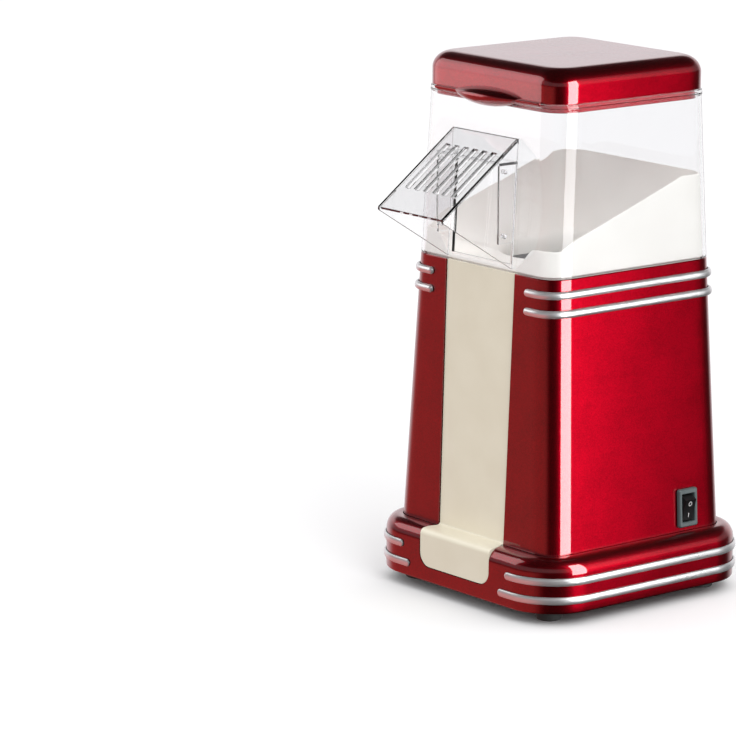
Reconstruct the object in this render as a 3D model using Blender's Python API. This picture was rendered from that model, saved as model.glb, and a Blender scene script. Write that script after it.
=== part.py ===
"""Hot-air popcorn maker in the shape of a small cinema popcorn cart.

A red tower stands on a wide red plinth. Inside the tower a motor and a fan blow air up through
a mica heater into an aluminium popping chamber. A cream slide lies over the chamber's mouth and
a clear hood stands round it. The popcorn leaves through a clear chute at the front, and a red
lid with a grip at the front lifts off the hood.

Metres, +Z up, the front faces -Y. The origin is on the floor, in the middle of the whole
machine's footprint. The tower's own upright axis lies AXIS_SHIFT behind it, because the chute
reaches out over the front.
"""

import math

import bpy

# Heights above the floor.
FOOT_HEIGHT = 0.0071
PLINTH_BOTTOM = 0.0072
PLINTH_EDGE = 0.0290          # where the upright plinth wall turns into its round shoulder
PLINTH_TOP = 0.0375
SEAM_HEIGHT = 0.0355          # the tower's bottom outline is measured here
TOWER_BOTTOM = 0.0330
TOWER_TOP = 0.1893
HOOD_BOTTOM = 0.1896
LID_BOTTOM = 0.2841
LID_TOP = 0.3030

# Half widths (x) and half depths (y) of the outlines, and their corner radii.
TOWER_FOOT = (0.06705, 0.06630)
TOWER_HEAD = (0.05905, 0.06145)
TOWER_CORNER = 0.0130
LID_HALF = (0.05680, 0.05665)
LID_CORNER = 0.0137
LID_EDGE = 0.0097             # how far the lid's top edge is rounded in
PLINTH_HALF = 0.0783
PLINTH_CORNER = 0.0295

WALL = 0.0022
CLEAR_WALL = 0.0020
GAP = 0.0003                  # between pieces that touch
CORNER_STEPS = 5              # facets in each rounded corner

# Bright trim strips: heights, sizes and where their front ends lie.
STRIP_HEIGHT = 0.0043
STRIP_STANDS = 0.0020
TOWER_STRIPS = {"tower_strip_upper": (0.1807, 0.0388), "tower_strip_lower": (0.1704, 0.0388)}
PLINTH_STRIPS = {"plinth_strip_upper": (0.0253, 0.0438), "plinth_strip_lower": (0.01475, 0.0382)}
PLINTH_STRIP_STANDS = 0.00135

# Front panel.
PANEL_TOP_HALF = 0.0289
PANEL_SEAM_HALF = 0.0277
PANEL_RECESS = 0.0010
APRON_HALF = 0.0296
APRON_BOTTOM = 0.0158
APRON_CORNER = 0.0080

# Chute: a slotted plate that slopes down to the front, between two cheeks.
CHUTE_REACH = 0.1115          # from the tower's axis to the lip
CHUTE_BACK_TOP = (-0.0583, 0.2632)
CHUTE_LIP_TOP = (-0.1115, 0.2240)
CHUTE_LIP_BOTTOM = (-0.1115, 0.2222)
CHUTE_BACK_BOTTOM = (-0.0618, 0.1915)
CHUTE_HALF = 0.0278
CHUTE_SLOTS = 6
SLOT_PITCH = 0.0078
SLOT_WIDTH = 0.0036
SLOT_START = 0.0130
SLOT_LENGTH = 0.0360
COLLAR_HALF = 0.0258
COLLAR_FRONT = -0.0710
COLLAR_BOTTOM = 0.2060
EXIT_BOTTOM = 0.1940
EXIT_TOP = 0.2490
CLIP_Y = -0.0680
CLIP_HEIGHTS = (0.2105, 0.2460)
SLIDE_LIP = 0.1840

# Grip on the lid's front edge, a lens seen from above.
GRIP_HALF = 0.0260
GRIP_REACH = 0.0090
GRIP_LOW = 0.2782

# Popping chamber, heater, fan and motor, all on the tower's axis.
CHAMBER_BOTTOM = 0.1120
CHAMBER_TOP = 0.1864
CHAMBER_RADIUS = 0.0370
CHAMBER_SLOTS = 16
DUCT_RADIUS = 0.0440
DUCT_BOTTOM = 0.0808
DUCT_TOP = 0.1850
HEATER_BOTTOM = 0.0840
HEATER_TOP = 0.1060
FAN_FLOOR = 0.0545
FAN_TOP = 0.0805
FAN_RADIUS = 0.0460
IMPELLER_RADIUS = 0.0340
BLADES = 12
MOTOR_RADIUS = 0.0140
MOTOR_BOTTOM = 0.0150
MOTOR_TOP = 0.0520
SHAFT_RADIUS = 0.00115

# The slide's upper edge: where it starts to climb, its height there, its climb per metre, its top.
SLIDE_CLIMB_FROM = -0.0420
SLIDE_SIDE_LOW = 0.2097
SLIDE_CLIMB = 0.337
SLIDE_BACK_TOP = 0.2368

# Switch on the right side.
SWITCH_Y = 0.0354
SWITCH_Z = 0.05075
BEZEL_HALF = (0.0109, 0.0070)
SWITCH_BOX_HALF = (0.0094, 0.0060)
SWITCH_WELL_HALF = (0.0080, 0.0047)
ROCKER_HALF = 0.0043
ROCKER_REST = math.radians(-14.0)
ROCKER_REACH = 0.0074
PIVOT_DEPTH = -0.0015

# Feet and screws.
FOOT_RADIUS = 0.0070
FOOT_X = 0.0566
FOOT_Y = 0.0571
LEG_RADIUS = 0.0400           # circle of the fan housing's four legs
BOSS_PLACES = {"front_left": (-0.0608, -0.0380), "front_right": (0.0608, -0.0380),
               "rear_left": (-0.0380, 0.0602), "rear_right": (0.0380, 0.0602)}
PLATE_BOTTOM = 0.0074
PLATE_TOP = 0.0094
GLAND_Z = 0.0500

AXIS_SHIFT = (CHUTE_REACH - PLINTH_HALF - PLINTH_STRIP_STANDS) / 2

RED = ("red_paint", (0.42, 0.004, 0.018), 0.18, 0.75)
CREAM = ("cream_plastic", (0.86, 0.82, 0.70), 0.35, 0.0)
BRIGHT = ("bright_strip", (0.80, 0.80, 0.79), 0.22, 1.0)
CLEAR = ("clear_plastic", (0.93, 0.95, 0.96), 0.06, 0.0)
RUBBER = ("black_rubber", (0.015, 0.015, 0.015), 0.75, 0.0)
BLACK = ("black_plastic", (0.012, 0.012, 0.014), 0.35, 0.0)
GREY = ("grey_plastic", (0.10, 0.12, 0.13), 0.40, 0.0)
ALUMINIUM = ("chamber_aluminium", (0.72, 0.72, 0.73), 0.32, 1.0)
STEEL = ("plated_steel", (0.55, 0.56, 0.57), 0.35, 1.0)
MICA = ("mica_board", (0.52, 0.47, 0.36), 0.60, 0.0)
HEAT_WIRE = ("heat_wire", (0.33, 0.30, 0.27), 0.45, 1.0)
BRASS = ("brass_terminal", (0.70, 0.52, 0.22), 0.35, 1.0)
BOARD = ("circuit_board", (0.05, 0.20, 0.09), 0.50, 0.0)
WIRE_BROWN = ("brown_wire", (0.16, 0.06, 0.02), 0.45, 0.0)
WIRE_BLUE = ("blue_wire", (0.03, 0.10, 0.40), 0.45, 0.0)
WIRE_WHITE = ("white_wire", (0.75, 0.75, 0.72), 0.45, 0.0)


def clear_scene():
    for old in list(bpy.data.objects):
        bpy.data.objects.remove(old, do_unlink=True)


def finish(spec):
    """Principled material from (name, colour, roughness, metallic), made once."""
    name, colour, roughness, metallic = spec
    made = bpy.data.materials.get(name)
    if made is None:
        made = bpy.data.materials.new(name)
        made.use_nodes = True
        shader = made.node_tree.nodes["Principled BSDF"]
        shader.inputs["Base Color"].default_value = (*colour, 1.0)
        shader.inputs["Roughness"].default_value = roughness
        shader.inputs["Metallic"].default_value = metallic
        made.diffuse_color = (*colour, 1.0)
    return made


def place(name, data, spec, location=(0.0, 0.0, 0.0), rotation=(0.0, 0.0, 0.0)):
    """Puts a mesh or curve on the tower's axis frame."""
    made = bpy.data.objects.new(name, data)
    bpy.context.scene.collection.objects.link(made)
    made.parent = bpy.data.objects["tower_axis"]
    made.location = location
    made.rotation_euler = rotation
    data.materials.append(finish(spec))
    return made


def smooth(made, degrees=35.0):
    made.data.shade_smooth()
    made.data.set_sharp_from_angle(angle=math.radians(degrees))
    return made


def loft(name, rings, spec, closed=False, **where):
    """Skins a list of rings. A closed loft joins its last ring to its first; an open one
    gets a flat cap at both ends. Rings run anticlockwise seen from above: outer walls are
    listed upwards and inner walls downwards."""
    count = len(rings[0])
    points = [point for ring in rings for point in ring]
    faces = []
    for level in range(len(rings) if closed else len(rings) - 1):
        low = level * count
        high = (level + 1) % len(rings) * count
        for i in range(count):
            j = (i + 1) % count
            faces.append((low + i, low + j, high + j, high + i))
    if not closed:
        faces.append(tuple(reversed(range(count))))
        faces.append(tuple(range(len(points) - count, len(points))))
    mesh = bpy.data.meshes.new(name)
    mesh.from_pydata(points, [], faces)
    mesh.validate()
    return smooth(place(name, mesh, spec, **where))


def rounded_ring(half_x, half_y, radius, height, steps=CORNER_STEPS, side_steps=1):
    """Rounded rectangle at a height, with its straight sides divided into side_steps."""
    corners = [(1, -1, -90.0), (1, 1, 0.0), (-1, 1, 90.0), (-1, -1, 180.0)]
    flat = []
    for sign_x, sign_y, start in corners:
        middle_x = sign_x * (half_x - radius)
        middle_y = sign_y * (half_y - radius)
        arc = []
        for step in range(steps + 1):
            angle = math.radians(start + 90.0 * step / steps)
            arc.append((middle_x + radius * math.cos(angle), middle_y + radius * math.sin(angle)))
        flat.append(arc)
    ring = []
    for number, arc in enumerate(flat):
        ring.extend(arc)
        following = flat[(number + 1) % 4][0]
        for step in range(1, side_steps):
            part = step / side_steps
            ring.append((arc[-1][0] + (following[0] - arc[-1][0]) * part,
                         arc[-1][1] + (following[1] - arc[-1][1]) * part))
    return [(x, y, height) for x, y in ring]


def circle_ring(radius, height, count=24, centre=(0.0, 0.0)):
    return [(centre[0] + radius * math.cos(2 * math.pi * i / count),
             centre[1] + radius * math.sin(2 * math.pi * i / count), height)
            for i in range(count)]


def turned(name, profile, spec, count=24, closed=False, centre=(0.0, 0.0), **where):
    """Turned piece: profile is a list of (radius, height) in the order loft asks for."""
    rings = [circle_ring(radius, height, count, centre) for radius, height in profile]
    return loft(name, rings, spec, closed, **where)


def box(name, low, high, spec, **where):
    ring = [(low[0], low[1]), (high[0], low[1]), (high[0], high[1]), (low[0], high[1])]
    rings = [[(x, y, z) for x, y in ring] for z in (low[2], high[2])]
    return loft(name, rings, spec, **where)


def side_prism(name, outline, half_width, spec, **where):
    """Prism across the machine: outline is (y, z) anticlockwise seen from +X."""
    low = [(-half_width, y, z) for y, z in outline]
    high = [(half_width, y, z) for y, z in outline]
    return loft(name, [low, high], spec, **where)


def front_prism(name, outline, back_y, front_y, spec, **where):
    """Prism along Y: outline is (x, z) anticlockwise seen from the front."""
    back = [(x, back_y, z) for x, z in outline]
    front = [(x, front_y, z) for x, z in outline]
    return loft(name, [back, front], spec, **where)


def as_tool(made):
    made.hide_render = True
    made.display_type = "WIRE"
    return made


def boolean(made, tool, operation):
    step = made.modifiers.new(operation.lower(), "BOOLEAN")
    step.operation = operation
    step.solver = "EXACT"
    step.object = as_tool(tool)
    return made


def cut(made, tool):
    return boolean(made, tool, "DIFFERENCE")


def add(made, tool):
    return boolean(made, tool, "UNION")


def several(name, pieces, spec):
    """One helper object from a list of (low, high) boxes."""
    points = []
    faces = []
    for low, high in pieces:
        first = len(points)
        points.extend((x, y, z) for z in (low[2], high[2])
                      for x, y in ((low[0], low[1]), (high[0], low[1]),
                                   (high[0], high[1]), (low[0], high[1])))
        quads = ((3, 2, 1, 0), (4, 5, 6, 7), (0, 1, 5, 4), (1, 2, 6, 5), (2, 3, 7, 6), (3, 0, 4, 7))
        faces.extend(tuple(first + i for i in quad) for quad in quads)
    mesh = bpy.data.meshes.new(name)
    mesh.from_pydata(points, [], faces)
    return place(name, mesh, spec)


def posts(name, places, radius, low, high, spec, count=12):
    """One helper object from several upright cylinders."""
    points = []
    faces = []
    for centre in places:
        first = len(points)
        points.extend(circle_ring(radius, low, count, centre))
        points.extend(circle_ring(radius, high, count, centre))
        faces.append(tuple(first + i for i in reversed(range(count))))
        faces.append(tuple(first + count + i for i in range(count)))
        for i in range(count):
            j = (i + 1) % count
            faces.append((first + i, first + j, first + count + j, first + count + i))
    mesh = bpy.data.meshes.new(name)
    mesh.from_pydata(points, [], faces)
    return place(name, mesh, spec)


def between(low, high, share):
    return low + (high - low) * share


def tower_half(height):
    """Half width and half depth of the tapered tower at a height."""
    share = (height - SEAM_HEIGHT) / (TOWER_TOP - SEAM_HEIGHT)
    return between(TOWER_FOOT[0], TOWER_HEAD[0], share), between(TOWER_FOOT[1], TOWER_HEAD[1], share)


def hood_half(height):
    """Half width and half depth of the hood, which tapers on to the lid's outline."""
    share = (height - TOWER_TOP) / (LID_BOTTOM - TOWER_TOP)
    return between(TOWER_HEAD[0], LID_HALF[0], share), between(TOWER_HEAD[1], LID_HALF[1], share)


def wall_ring(half_at, height, inset=0.0, corner=TOWER_CORNER):
    half_x, half_y = half_at(height)
    return rounded_ring(half_x - inset, half_y - inset, corner - inset, height)


def arc_profile(outer_half, inner_half, low, high, steps=4):
    """Quarter round from an upright wall to a level top: (half width, height) pairs."""
    pairs = []
    for step in range(steps + 1):
        angle = math.pi / 2 * step / steps
        pairs.append((inner_half + (outer_half - inner_half) * math.cos(angle),
                      low + (high - low) * math.sin(angle)))
    return pairs


def ledge_corner(half):
    """The plinth's corner radius shrinks from its wall to the tower's opening."""
    share = (PLINTH_HALF - half) / (PLINTH_HALF - TOWER_FOOT[0])
    return between(PLINTH_CORNER, TOWER_CORNER + GAP, min(1.0, share))


def make_plinth():
    ledge = 0.0700
    inner = PLINTH_HALF - WALL
    mouth_x = TOWER_FOOT[0] + 0.0006
    mouth_y = TOWER_FOOT[1] + 0.0006
    mouth_corner = TOWER_CORNER + 0.0006
    outer_shape = [(PLINTH_HALF - 0.0008, PLINTH_BOTTOM), (PLINTH_HALF, PLINTH_BOTTOM + 0.0010)]
    outer_shape += arc_profile(PLINTH_HALF, ledge, PLINTH_EDGE, PLINTH_TOP)
    rings = [rounded_ring(half, half, ledge_corner(half), z) for half, z in outer_shape]
    rings.append(rounded_ring(mouth_x, mouth_y, mouth_corner, PLINTH_TOP))
    rings.append(rounded_ring(mouth_x, mouth_y, mouth_corner, PLINTH_TOP - WALL))
    inner_shape = list(reversed(arc_profile(inner, ledge, PLINTH_EDGE, PLINTH_TOP - WALL)))
    inner_shape.append((inner, PLINTH_BOTTOM))
    rings += [rounded_ring(half, half, ledge_corner(half) - WALL / 2, z) for half, z in inner_shape]
    plinth = loft("plinth", rings, RED, closed=True)
    half = APRON_HALF + GAP
    low = APRON_BOTTOM - GAP
    outline = [(half, 0.060), (-half, 0.060)]
    for start, side in ((180.0, -1), (270.0, 1)):
        for step in range(6):
            angle = math.radians(start + 18.0 * step)
            outline.append((side * (half - APRON_CORNER) + APRON_CORNER * math.cos(angle),
                            low + APRON_CORNER + APRON_CORNER * math.sin(angle)))
    cut(plinth, front_prism("apron_cutter", outline, -0.060, -0.090, RED))
    return plinth


def make_bottom_plate():
    half = PLINTH_HALF - WALL - 0.0005
    corner = PLINTH_CORNER - WALL / 2 - 0.0005
    rings = [rounded_ring(half, half, corner, PLATE_BOTTOM), rounded_ring(half, half, corner, PLATE_TOP)]
    plate = loft("bottom_plate", rings, BLACK)
    slots = [((-0.020, y - 0.0015, 0.0), (0.020, y + 0.0015, 0.020))
             for y in (-0.024, -0.016, -0.008, 0.0, 0.008, 0.016, 0.024)]
    cut(plate, several("vent_cutter", slots, BLACK))
    screws = list(BOSS_PLACES.values()) + leg_places()
    cut(plate, posts("plate_screw_cutter", screws, 0.0019, 0.0, 0.020, BLACK, count=8))
    cut(plate, posts("plate_foot_cutter", foot_places().values(), 0.0016, 0.0, 0.020, BLACK, count=8))
    return plate


def foot_places():
    return {"front_left": (-FOOT_X, -FOOT_Y), "front_right": (FOOT_X, -FOOT_Y),
            "rear_left": (-FOOT_X, FOOT_Y), "rear_right": (FOOT_X, FOOT_Y)}


def leg_places():
    reach = LEG_RADIUS / math.sqrt(2)
    return [(-reach, -reach), (reach, -reach), (-reach, reach), (reach, reach)]


def make_feet():
    for side, centre in foot_places().items():
        turned("foot_" + side, [(FOOT_RADIUS - 0.0005, 0.0), (FOOT_RADIUS, 0.0006),
                                (FOOT_RADIUS, FOOT_HEIGHT), (0.0018, FOOT_HEIGHT),
                                (0.0018, 0.0034), (0.0038, 0.0034), (0.0038, 0.0)],
               RUBBER, count=20, closed=True, centre=centre)
        screw("foot_screw_" + side, centre, 0.0014, 0.0031, 0.0120, 0.0032, 0.0012)


def screw(name, centre, head_low, head_high, tip, head_radius, shank_radius):
    """Pan-head screw that points up, with a round drive recess in its head."""
    turned(name, [(head_radius * 0.45, head_low + 0.0008), (head_radius * 0.45, head_low),
                  (head_radius * 0.85, head_low), (head_radius, head_low + 0.0006),
                  (head_radius, head_high), (shank_radius, head_high),
                  (shank_radius, tip - 0.0010), (shank_radius * 0.5, tip)],
           STEEL, count=10, centre=centre)


def make_tower():
    rings = [wall_ring(tower_half, TOWER_BOTTOM), wall_ring(tower_half, TOWER_TOP),
             wall_ring(tower_half, TOWER_TOP, WALL), wall_ring(tower_half, TOWER_BOTTOM, WALL)]
    tower = loft("tower_shell", rings, RED, closed=True)
    slope = (PANEL_TOP_HALF - PANEL_SEAM_HALF) / (TOWER_TOP - SEAM_HEIGHT)
    low_half = PANEL_SEAM_HALF + GAP - slope * 0.020
    high_half = PANEL_TOP_HALF + GAP + slope * 0.020
    rings = []
    for half, z in ((low_half, SEAM_HEIGHT - 0.020), (high_half, TOWER_TOP + 0.020)):
        rings.append([(half, -0.090, z), (half, -0.045, z), (-half, -0.045, z), (-half, -0.090, z)])
    cut(tower, loft("panel_cutter", rings, RED))
    places = BOSS_PLACES.values()
    add(tower, posts("tower_bosses", places, 0.0045, PLATE_TOP + GAP, 0.0600, RED))
    cut(tower, posts("boss_pilots", places, 0.0016, 0.0, 0.0250, RED, count=8))
    switch_height, switch_width = SWITCH_BOX_HALF
    low = (0.055, SWITCH_Y - switch_width - GAP, SWITCH_Z - switch_height - GAP)
    high = (0.075, SWITCH_Y + switch_width + GAP, SWITCH_Z + switch_height + GAP)
    cut(tower, box("switch_cutter", low, high, RED))
    tool = turned("gland_cutter", [(0.0058, -0.010), (0.0058, 0.010)], RED, count=16,
                  location=(0.0, tower_half(GLAND_Z)[1], GLAND_Z), rotation=(math.pi / 2, 0.0, 0.0))
    cut(tower, tool)
    for side, centre in BOSS_PLACES.items():
        screw("base_screw_" + side, centre, 0.0050, 0.0071, 0.0210, 0.0032, 0.0013)
    return tower


def panel_path():
    """Front face of the cream panel as (y, z, half width, thickness direction), top to bottom."""
    front_high = -(tower_half(TOWER_TOP)[1] - PANEL_RECESS)
    front_low = -(tower_half(PLINTH_TOP)[1] - PANEL_RECESS)
    apron = -(PLINTH_HALF - 0.0003)
    steps = [(front_high, TOWER_TOP - 0.0004, PANEL_TOP_HALF, (1.0, 0.0)),
             (front_low, PLINTH_TOP + 0.0012, PANEL_SEAM_HALF, (1.0, -0.3)),
             (front_low - 0.0010, PLINTH_TOP, PANEL_SEAM_HALF, (0.7, -0.7)),
             (apron + 0.0024, PLINTH_TOP - 0.0006, APRON_HALF, (0.3, -1.0)),
             (apron + 0.0007, PLINTH_TOP - 0.0013, APRON_HALF, (0.7, -0.7)),
             (apron, PLINTH_TOP - 0.0030, APRON_HALF, (1.0, -0.3))]
    for step in range(6):
        angle = math.pi / 2 * step / 5
        half = APRON_HALF - APRON_CORNER + APRON_CORNER * math.cos(angle)
        steps.append((apron, APRON_BOTTOM + APRON_CORNER * (1 - math.sin(angle)), half, (1.0, 0.0)))
    return steps


def make_front_panel():
    """A ribbon of even thickness that follows the tower, the ledge and the apron."""
    thickness = 0.0020
    rings = []
    for y, z, half, (back_y, back_z) in panel_path():
        length = math.hypot(back_y, back_z)
        inner_y = y + thickness * back_y / length
        inner_z = z + thickness * back_z / length
        rings.append([(-half, y, z), (-half, inner_y, inner_z), (half, inner_y, inner_z), (half, y, z)])
    return loft("front_panel", rings, CREAM)


def slide_edge(x, y):
    """Height of the slide's upper edge: it climbs to a level back and dips at the exit."""
    if y > SLIDE_CLIMB_FROM:
        return min(SLIDE_SIDE_LOW + SLIDE_CLIMB * (y - SLIDE_CLIMB_FROM), SLIDE_BACK_TOP)
    corner = between(SLIDE_SIDE_LOW, 0.2040, min(1.0, (SLIDE_CLIMB_FROM - y) / 0.010))
    share = min(1.0, max(0.0, (abs(x) - 0.0280) / 0.0140))
    return between(0.1925, corner, share * share * (3 - 2 * share))


def make_slide():
    """Funnel that fills the foot of the hood and leads down to the exit."""
    clear = CLEAR_WALL + 0.0005
    skin = 0.0018
    half_low = hood_half(HOOD_BOTTOM)
    foot_height = TOWER_TOP - 0.0055

    def outline(inset, height=HOOD_BOTTOM):
        return rounded_ring(half_low[0] - clear - inset, half_low[1] - clear - inset,
                            TOWER_CORNER - clear - inset, height, side_steps=6)

    def edge_ring(sink, inset):
        """The outline lifted to the slide's edge, drawn in as the hood tapers."""
        ring = []
        for x, y, _ in outline(inset):
            z = slide_edge(x, y)
            half = hood_half(z)
            shrink_x = (half[0] - clear - inset) / (half_low[0] - clear - inset)
            shrink_y = (half[1] - clear - inset) / (half_low[1] - clear - inset)
            ring.append((x * shrink_x, y * shrink_y, max(z - sink, HOOD_BOTTOM - 0.0010)))
        return ring

    def mouth_ring(radius, low, rise=0.0):
        """Circle over the chamber, tipped up to the back, matched to the outline's points."""
        ring = []
        for x, y, _ in outline(0.0):
            angle = math.atan2(y, x)
            ring.append((radius * math.cos(angle), radius * math.sin(angle),
                         low + rise * (1 + math.sin(angle)) / 2))
        return ring

    rings = [outline(0.0012, foot_height), outline(0.0012), outline(0.0, HOOD_BOTTOM + 0.0006),
             edge_ring(0.0, 0.0), edge_ring(0.0, skin), edge_ring(0.0025, skin + 0.0008),
             mouth_ring(0.0375, 0.1918, 0.0070), mouth_ring(0.0344, 0.1902, 0.0060),
             mouth_ring(0.0340, SLIDE_LIP), mouth_ring(0.0354, SLIDE_LIP),
             mouth_ring(0.0358, 0.1884, 0.0050), edge_ring(0.0065, skin + 0.0014),
             outline(skin + 0.0014, foot_height)]
    return loft("popcorn_slide", rings, CREAM, closed=True)


def make_hood():
    """Clear four-sided tube with a rim at the top and a collar round the exit."""
    rim_low = LID_BOTTOM - 0.0031
    rim_high = LID_BOTTOM - GAP
    rings = [wall_ring(hood_half, HOOD_BOTTOM), wall_ring(hood_half, rim_low - 0.0004),
             wall_ring(hood_half, rim_low, -0.0004), wall_ring(hood_half, rim_high, -0.0004),
             wall_ring(hood_half, rim_high, CLEAR_WALL), wall_ring(hood_half, HOOD_BOTTOM, CLEAR_WALL)]
    hood = loft("hood", rings, CLEAR, closed=True)
    low = COLLAR_BOTTOM
    high = EXIT_TOP + 0.0016
    middle = CLEAR_WALL / 2
    outline = [(-(hood_half(low)[1] - middle), low), (-(hood_half(high)[1] - middle), high),
               (COLLAR_FRONT, high), (COLLAR_FRONT, low)]
    add(hood, side_prism("collar_block", outline, COLLAR_HALF, CLEAR))
    for number, height in enumerate(CLIP_HEIGHTS):
        pin_end = CHUTE_HALF + 0.0008
        add(hood, turned("clip_pin_%d" % number, [(0.0012, -pin_end), (0.0012, pin_end)],
                         CLEAR, count=10, location=(0.0, CLIP_Y, height), rotation=(0.0, math.pi / 2, 0.0)))
    half = COLLAR_HALF - 0.0015
    cut(hood, box("exit_cutter", (-half, -0.090, EXIT_BOTTOM), (half, -0.045, EXIT_TOP), CLEAR))
    return hood


def make_chute():
    """Slotted plate and two cheeks, cut from one wedge, clipped over the hood's collar."""
    outline = [CHUTE_BACK_BOTTOM, CHUTE_BACK_TOP, CHUTE_LIP_TOP, CHUTE_LIP_BOTTOM]
    chute = side_prism("chute", outline, CHUTE_HALF, CLEAR)
    rise = (CHUTE_BACK_TOP[1] - CHUTE_LIP_TOP[1]) / (CHUTE_BACK_TOP[0] - CHUTE_LIP_TOP[0])
    angle = math.atan(rise)
    drop = 0.0018 / math.cos(angle)

    def under_plate(y):
        return CHUTE_LIP_TOP[1] + rise * (y - CHUTE_LIP_TOP[0]) - drop

    back = -0.0500
    front = -CHUTE_REACH + 0.0016
    floor = CHUTE_BACK_BOTTOM[1] - 0.0100
    hollow = [(back, floor), (back, under_plate(back)), (front, under_plate(front)), (front, floor)]
    cut(chute, side_prism("chute_hollow", hollow, CHUTE_HALF - 0.0016, CLEAR))
    slots = []
    for number in range(CHUTE_SLOTS):
        x = (number - (CHUTE_SLOTS - 1) / 2) * SLOT_PITCH
        slots.append(((x - SLOT_WIDTH / 2, -SLOT_START - SLOT_LENGTH, -0.010),
                      (x + SLOT_WIDTH / 2, -SLOT_START, 0.010)))
    tool = several("slot_cutter", slots, CLEAR)
    tool.location = (0.0, *CHUTE_BACK_TOP)
    tool.rotation_euler = (angle, 0.0, 0.0)
    cut(chute, tool)
    for number, height in enumerate(CLIP_HEIGHTS):
        cut(chute, turned("clip_hole_%d" % number, [(0.0016, -0.040), (0.0016, 0.040)], CLEAR, count=10,
                          location=(0.0, CLIP_Y, height), rotation=(0.0, math.pi / 2, 0.0)))
    return chute


def make_lid():
    """Shallow red cap with a tongue inside the hood and a lens-shaped grip at the front."""
    def ring(inset, height):
        return rounded_ring(LID_HALF[0] - inset, LID_HALF[1] - inset, LID_CORNER - inset * 0.6, height)

    tongue_low = LID_BOTTOM - 0.0050
    tongue_out = CLEAR_WALL + 0.0008
    tongue_in = tongue_out + 0.0014
    rings = [ring(0.0140, LID_TOP - 0.0021), ring(0.0090, LID_TOP - 0.0026), ring(0.0060, LID_TOP - 0.0044),
             ring(tongue_in, LID_TOP - 0.0090), ring(tongue_in, tongue_low), ring(tongue_out, tongue_low),
             ring(tongue_out, LID_BOTTOM), ring(0.0, LID_BOTTOM)]
    for step in range(6):
        angle = math.pi / 2 * step / 5
        rings.append(ring(LID_EDGE * (1 - math.cos(angle)), LID_TOP - LID_EDGE * (1 - math.sin(angle))))
    lid = loft("lid", rings, RED)

    def grip_ring(height, back, swell):
        front = -(LID_HALF[1] + 0.0012)
        points = []
        for step in range(13):
            x = GRIP_HALF * (step / 6 - 1)
            points.append((x, front - swell * (1 - (x / GRIP_HALF) ** 2) - 0.0004, height))
        return points + [(GRIP_HALF, back, height), (-GRIP_HALF, back, height)]

    outside = -(LID_HALF[1] + 0.0010)
    inside = -(LID_HALF[1] - 0.0012)
    rings = [grip_ring(GRIP_LOW, outside, GRIP_REACH * 0.82),
             grip_ring(GRIP_LOW + 0.0010, outside, GRIP_REACH),
             grip_ring(LID_BOTTOM + 0.0004, outside, GRIP_REACH),
             grip_ring(LID_BOTTOM + 0.0005, inside, GRIP_REACH),
             grip_ring(LID_BOTTOM + 0.0016, inside, GRIP_REACH * 0.85)]
    add(lid, loft("lid_grip", rings, RED))
    return lid


def follow_outline(half_x, half_y, radius, front_x, steps=CORNER_STEPS):
    """Path round the back of a rounded rectangle, from the front right to the front left,
    as (x, y, outward x, outward y)."""
    path = [(front_x, -half_y, 0.0, -1.0)]
    for sign_x, sign_y, start in ((1, -1, -90.0), (1, 1, 0.0), (-1, 1, 90.0), (-1, -1, 180.0)):
        for step in range(steps + 1):
            angle = math.radians(start + 90.0 * step / steps)
            out_x = math.cos(angle)
            out_y = math.sin(angle)
            path.append((sign_x * (half_x - radius) + radius * out_x,
                         sign_y * (half_y - radius) + radius * out_y, out_x, out_y))
    path.append((-front_x, -half_y, 0.0, -1.0))
    return path


def make_strip(name, height, front_x, half, corner, stands):
    """Half-round bar carried round the outline, with rounded ends."""
    path = follow_outline(half[0] + GAP, half[1] + GAP, corner + GAP, front_x)
    section = [(0.0, -0.5), (0.65, -0.46), (1.0, -0.22), (1.0, 0.22), (0.65, 0.46), (0.0, 0.5)]
    end_length = STRIP_HEIGHT * 0.35
    first = path[0]
    last = path[-1]
    stations = [(first, 0.45), ((first[0] + end_length, *first[1:]), 1.0)]
    stations += [(place_on, 1.0) for place_on in path[1:-1]]
    stations += [((last[0] - end_length, *last[1:]), 1.0), (last, 0.45)]
    rings = []
    for (x, y, out_x, out_y), size in stations:
        rings.append([(x + out_x * stands * across * size, y + out_y * stands * across * size,
                       height + STRIP_HEIGHT * up * size) for across, up in reversed(section)])
    return loft(name, rings, BRIGHT)


def make_strips():
    for name, (height, front_x) in TOWER_STRIPS.items():
        half = tower_half(height - STRIP_HEIGHT / 2)
        make_strip(name, height, front_x, half, TOWER_CORNER, STRIP_STANDS)
    for name, (height, front_x) in PLINTH_STRIPS.items():
        half = (PLINTH_HALF, PLINTH_HALF)
        make_strip(name, height, front_x, half, PLINTH_CORNER, PLINTH_STRIP_STANDS - GAP)


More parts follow.
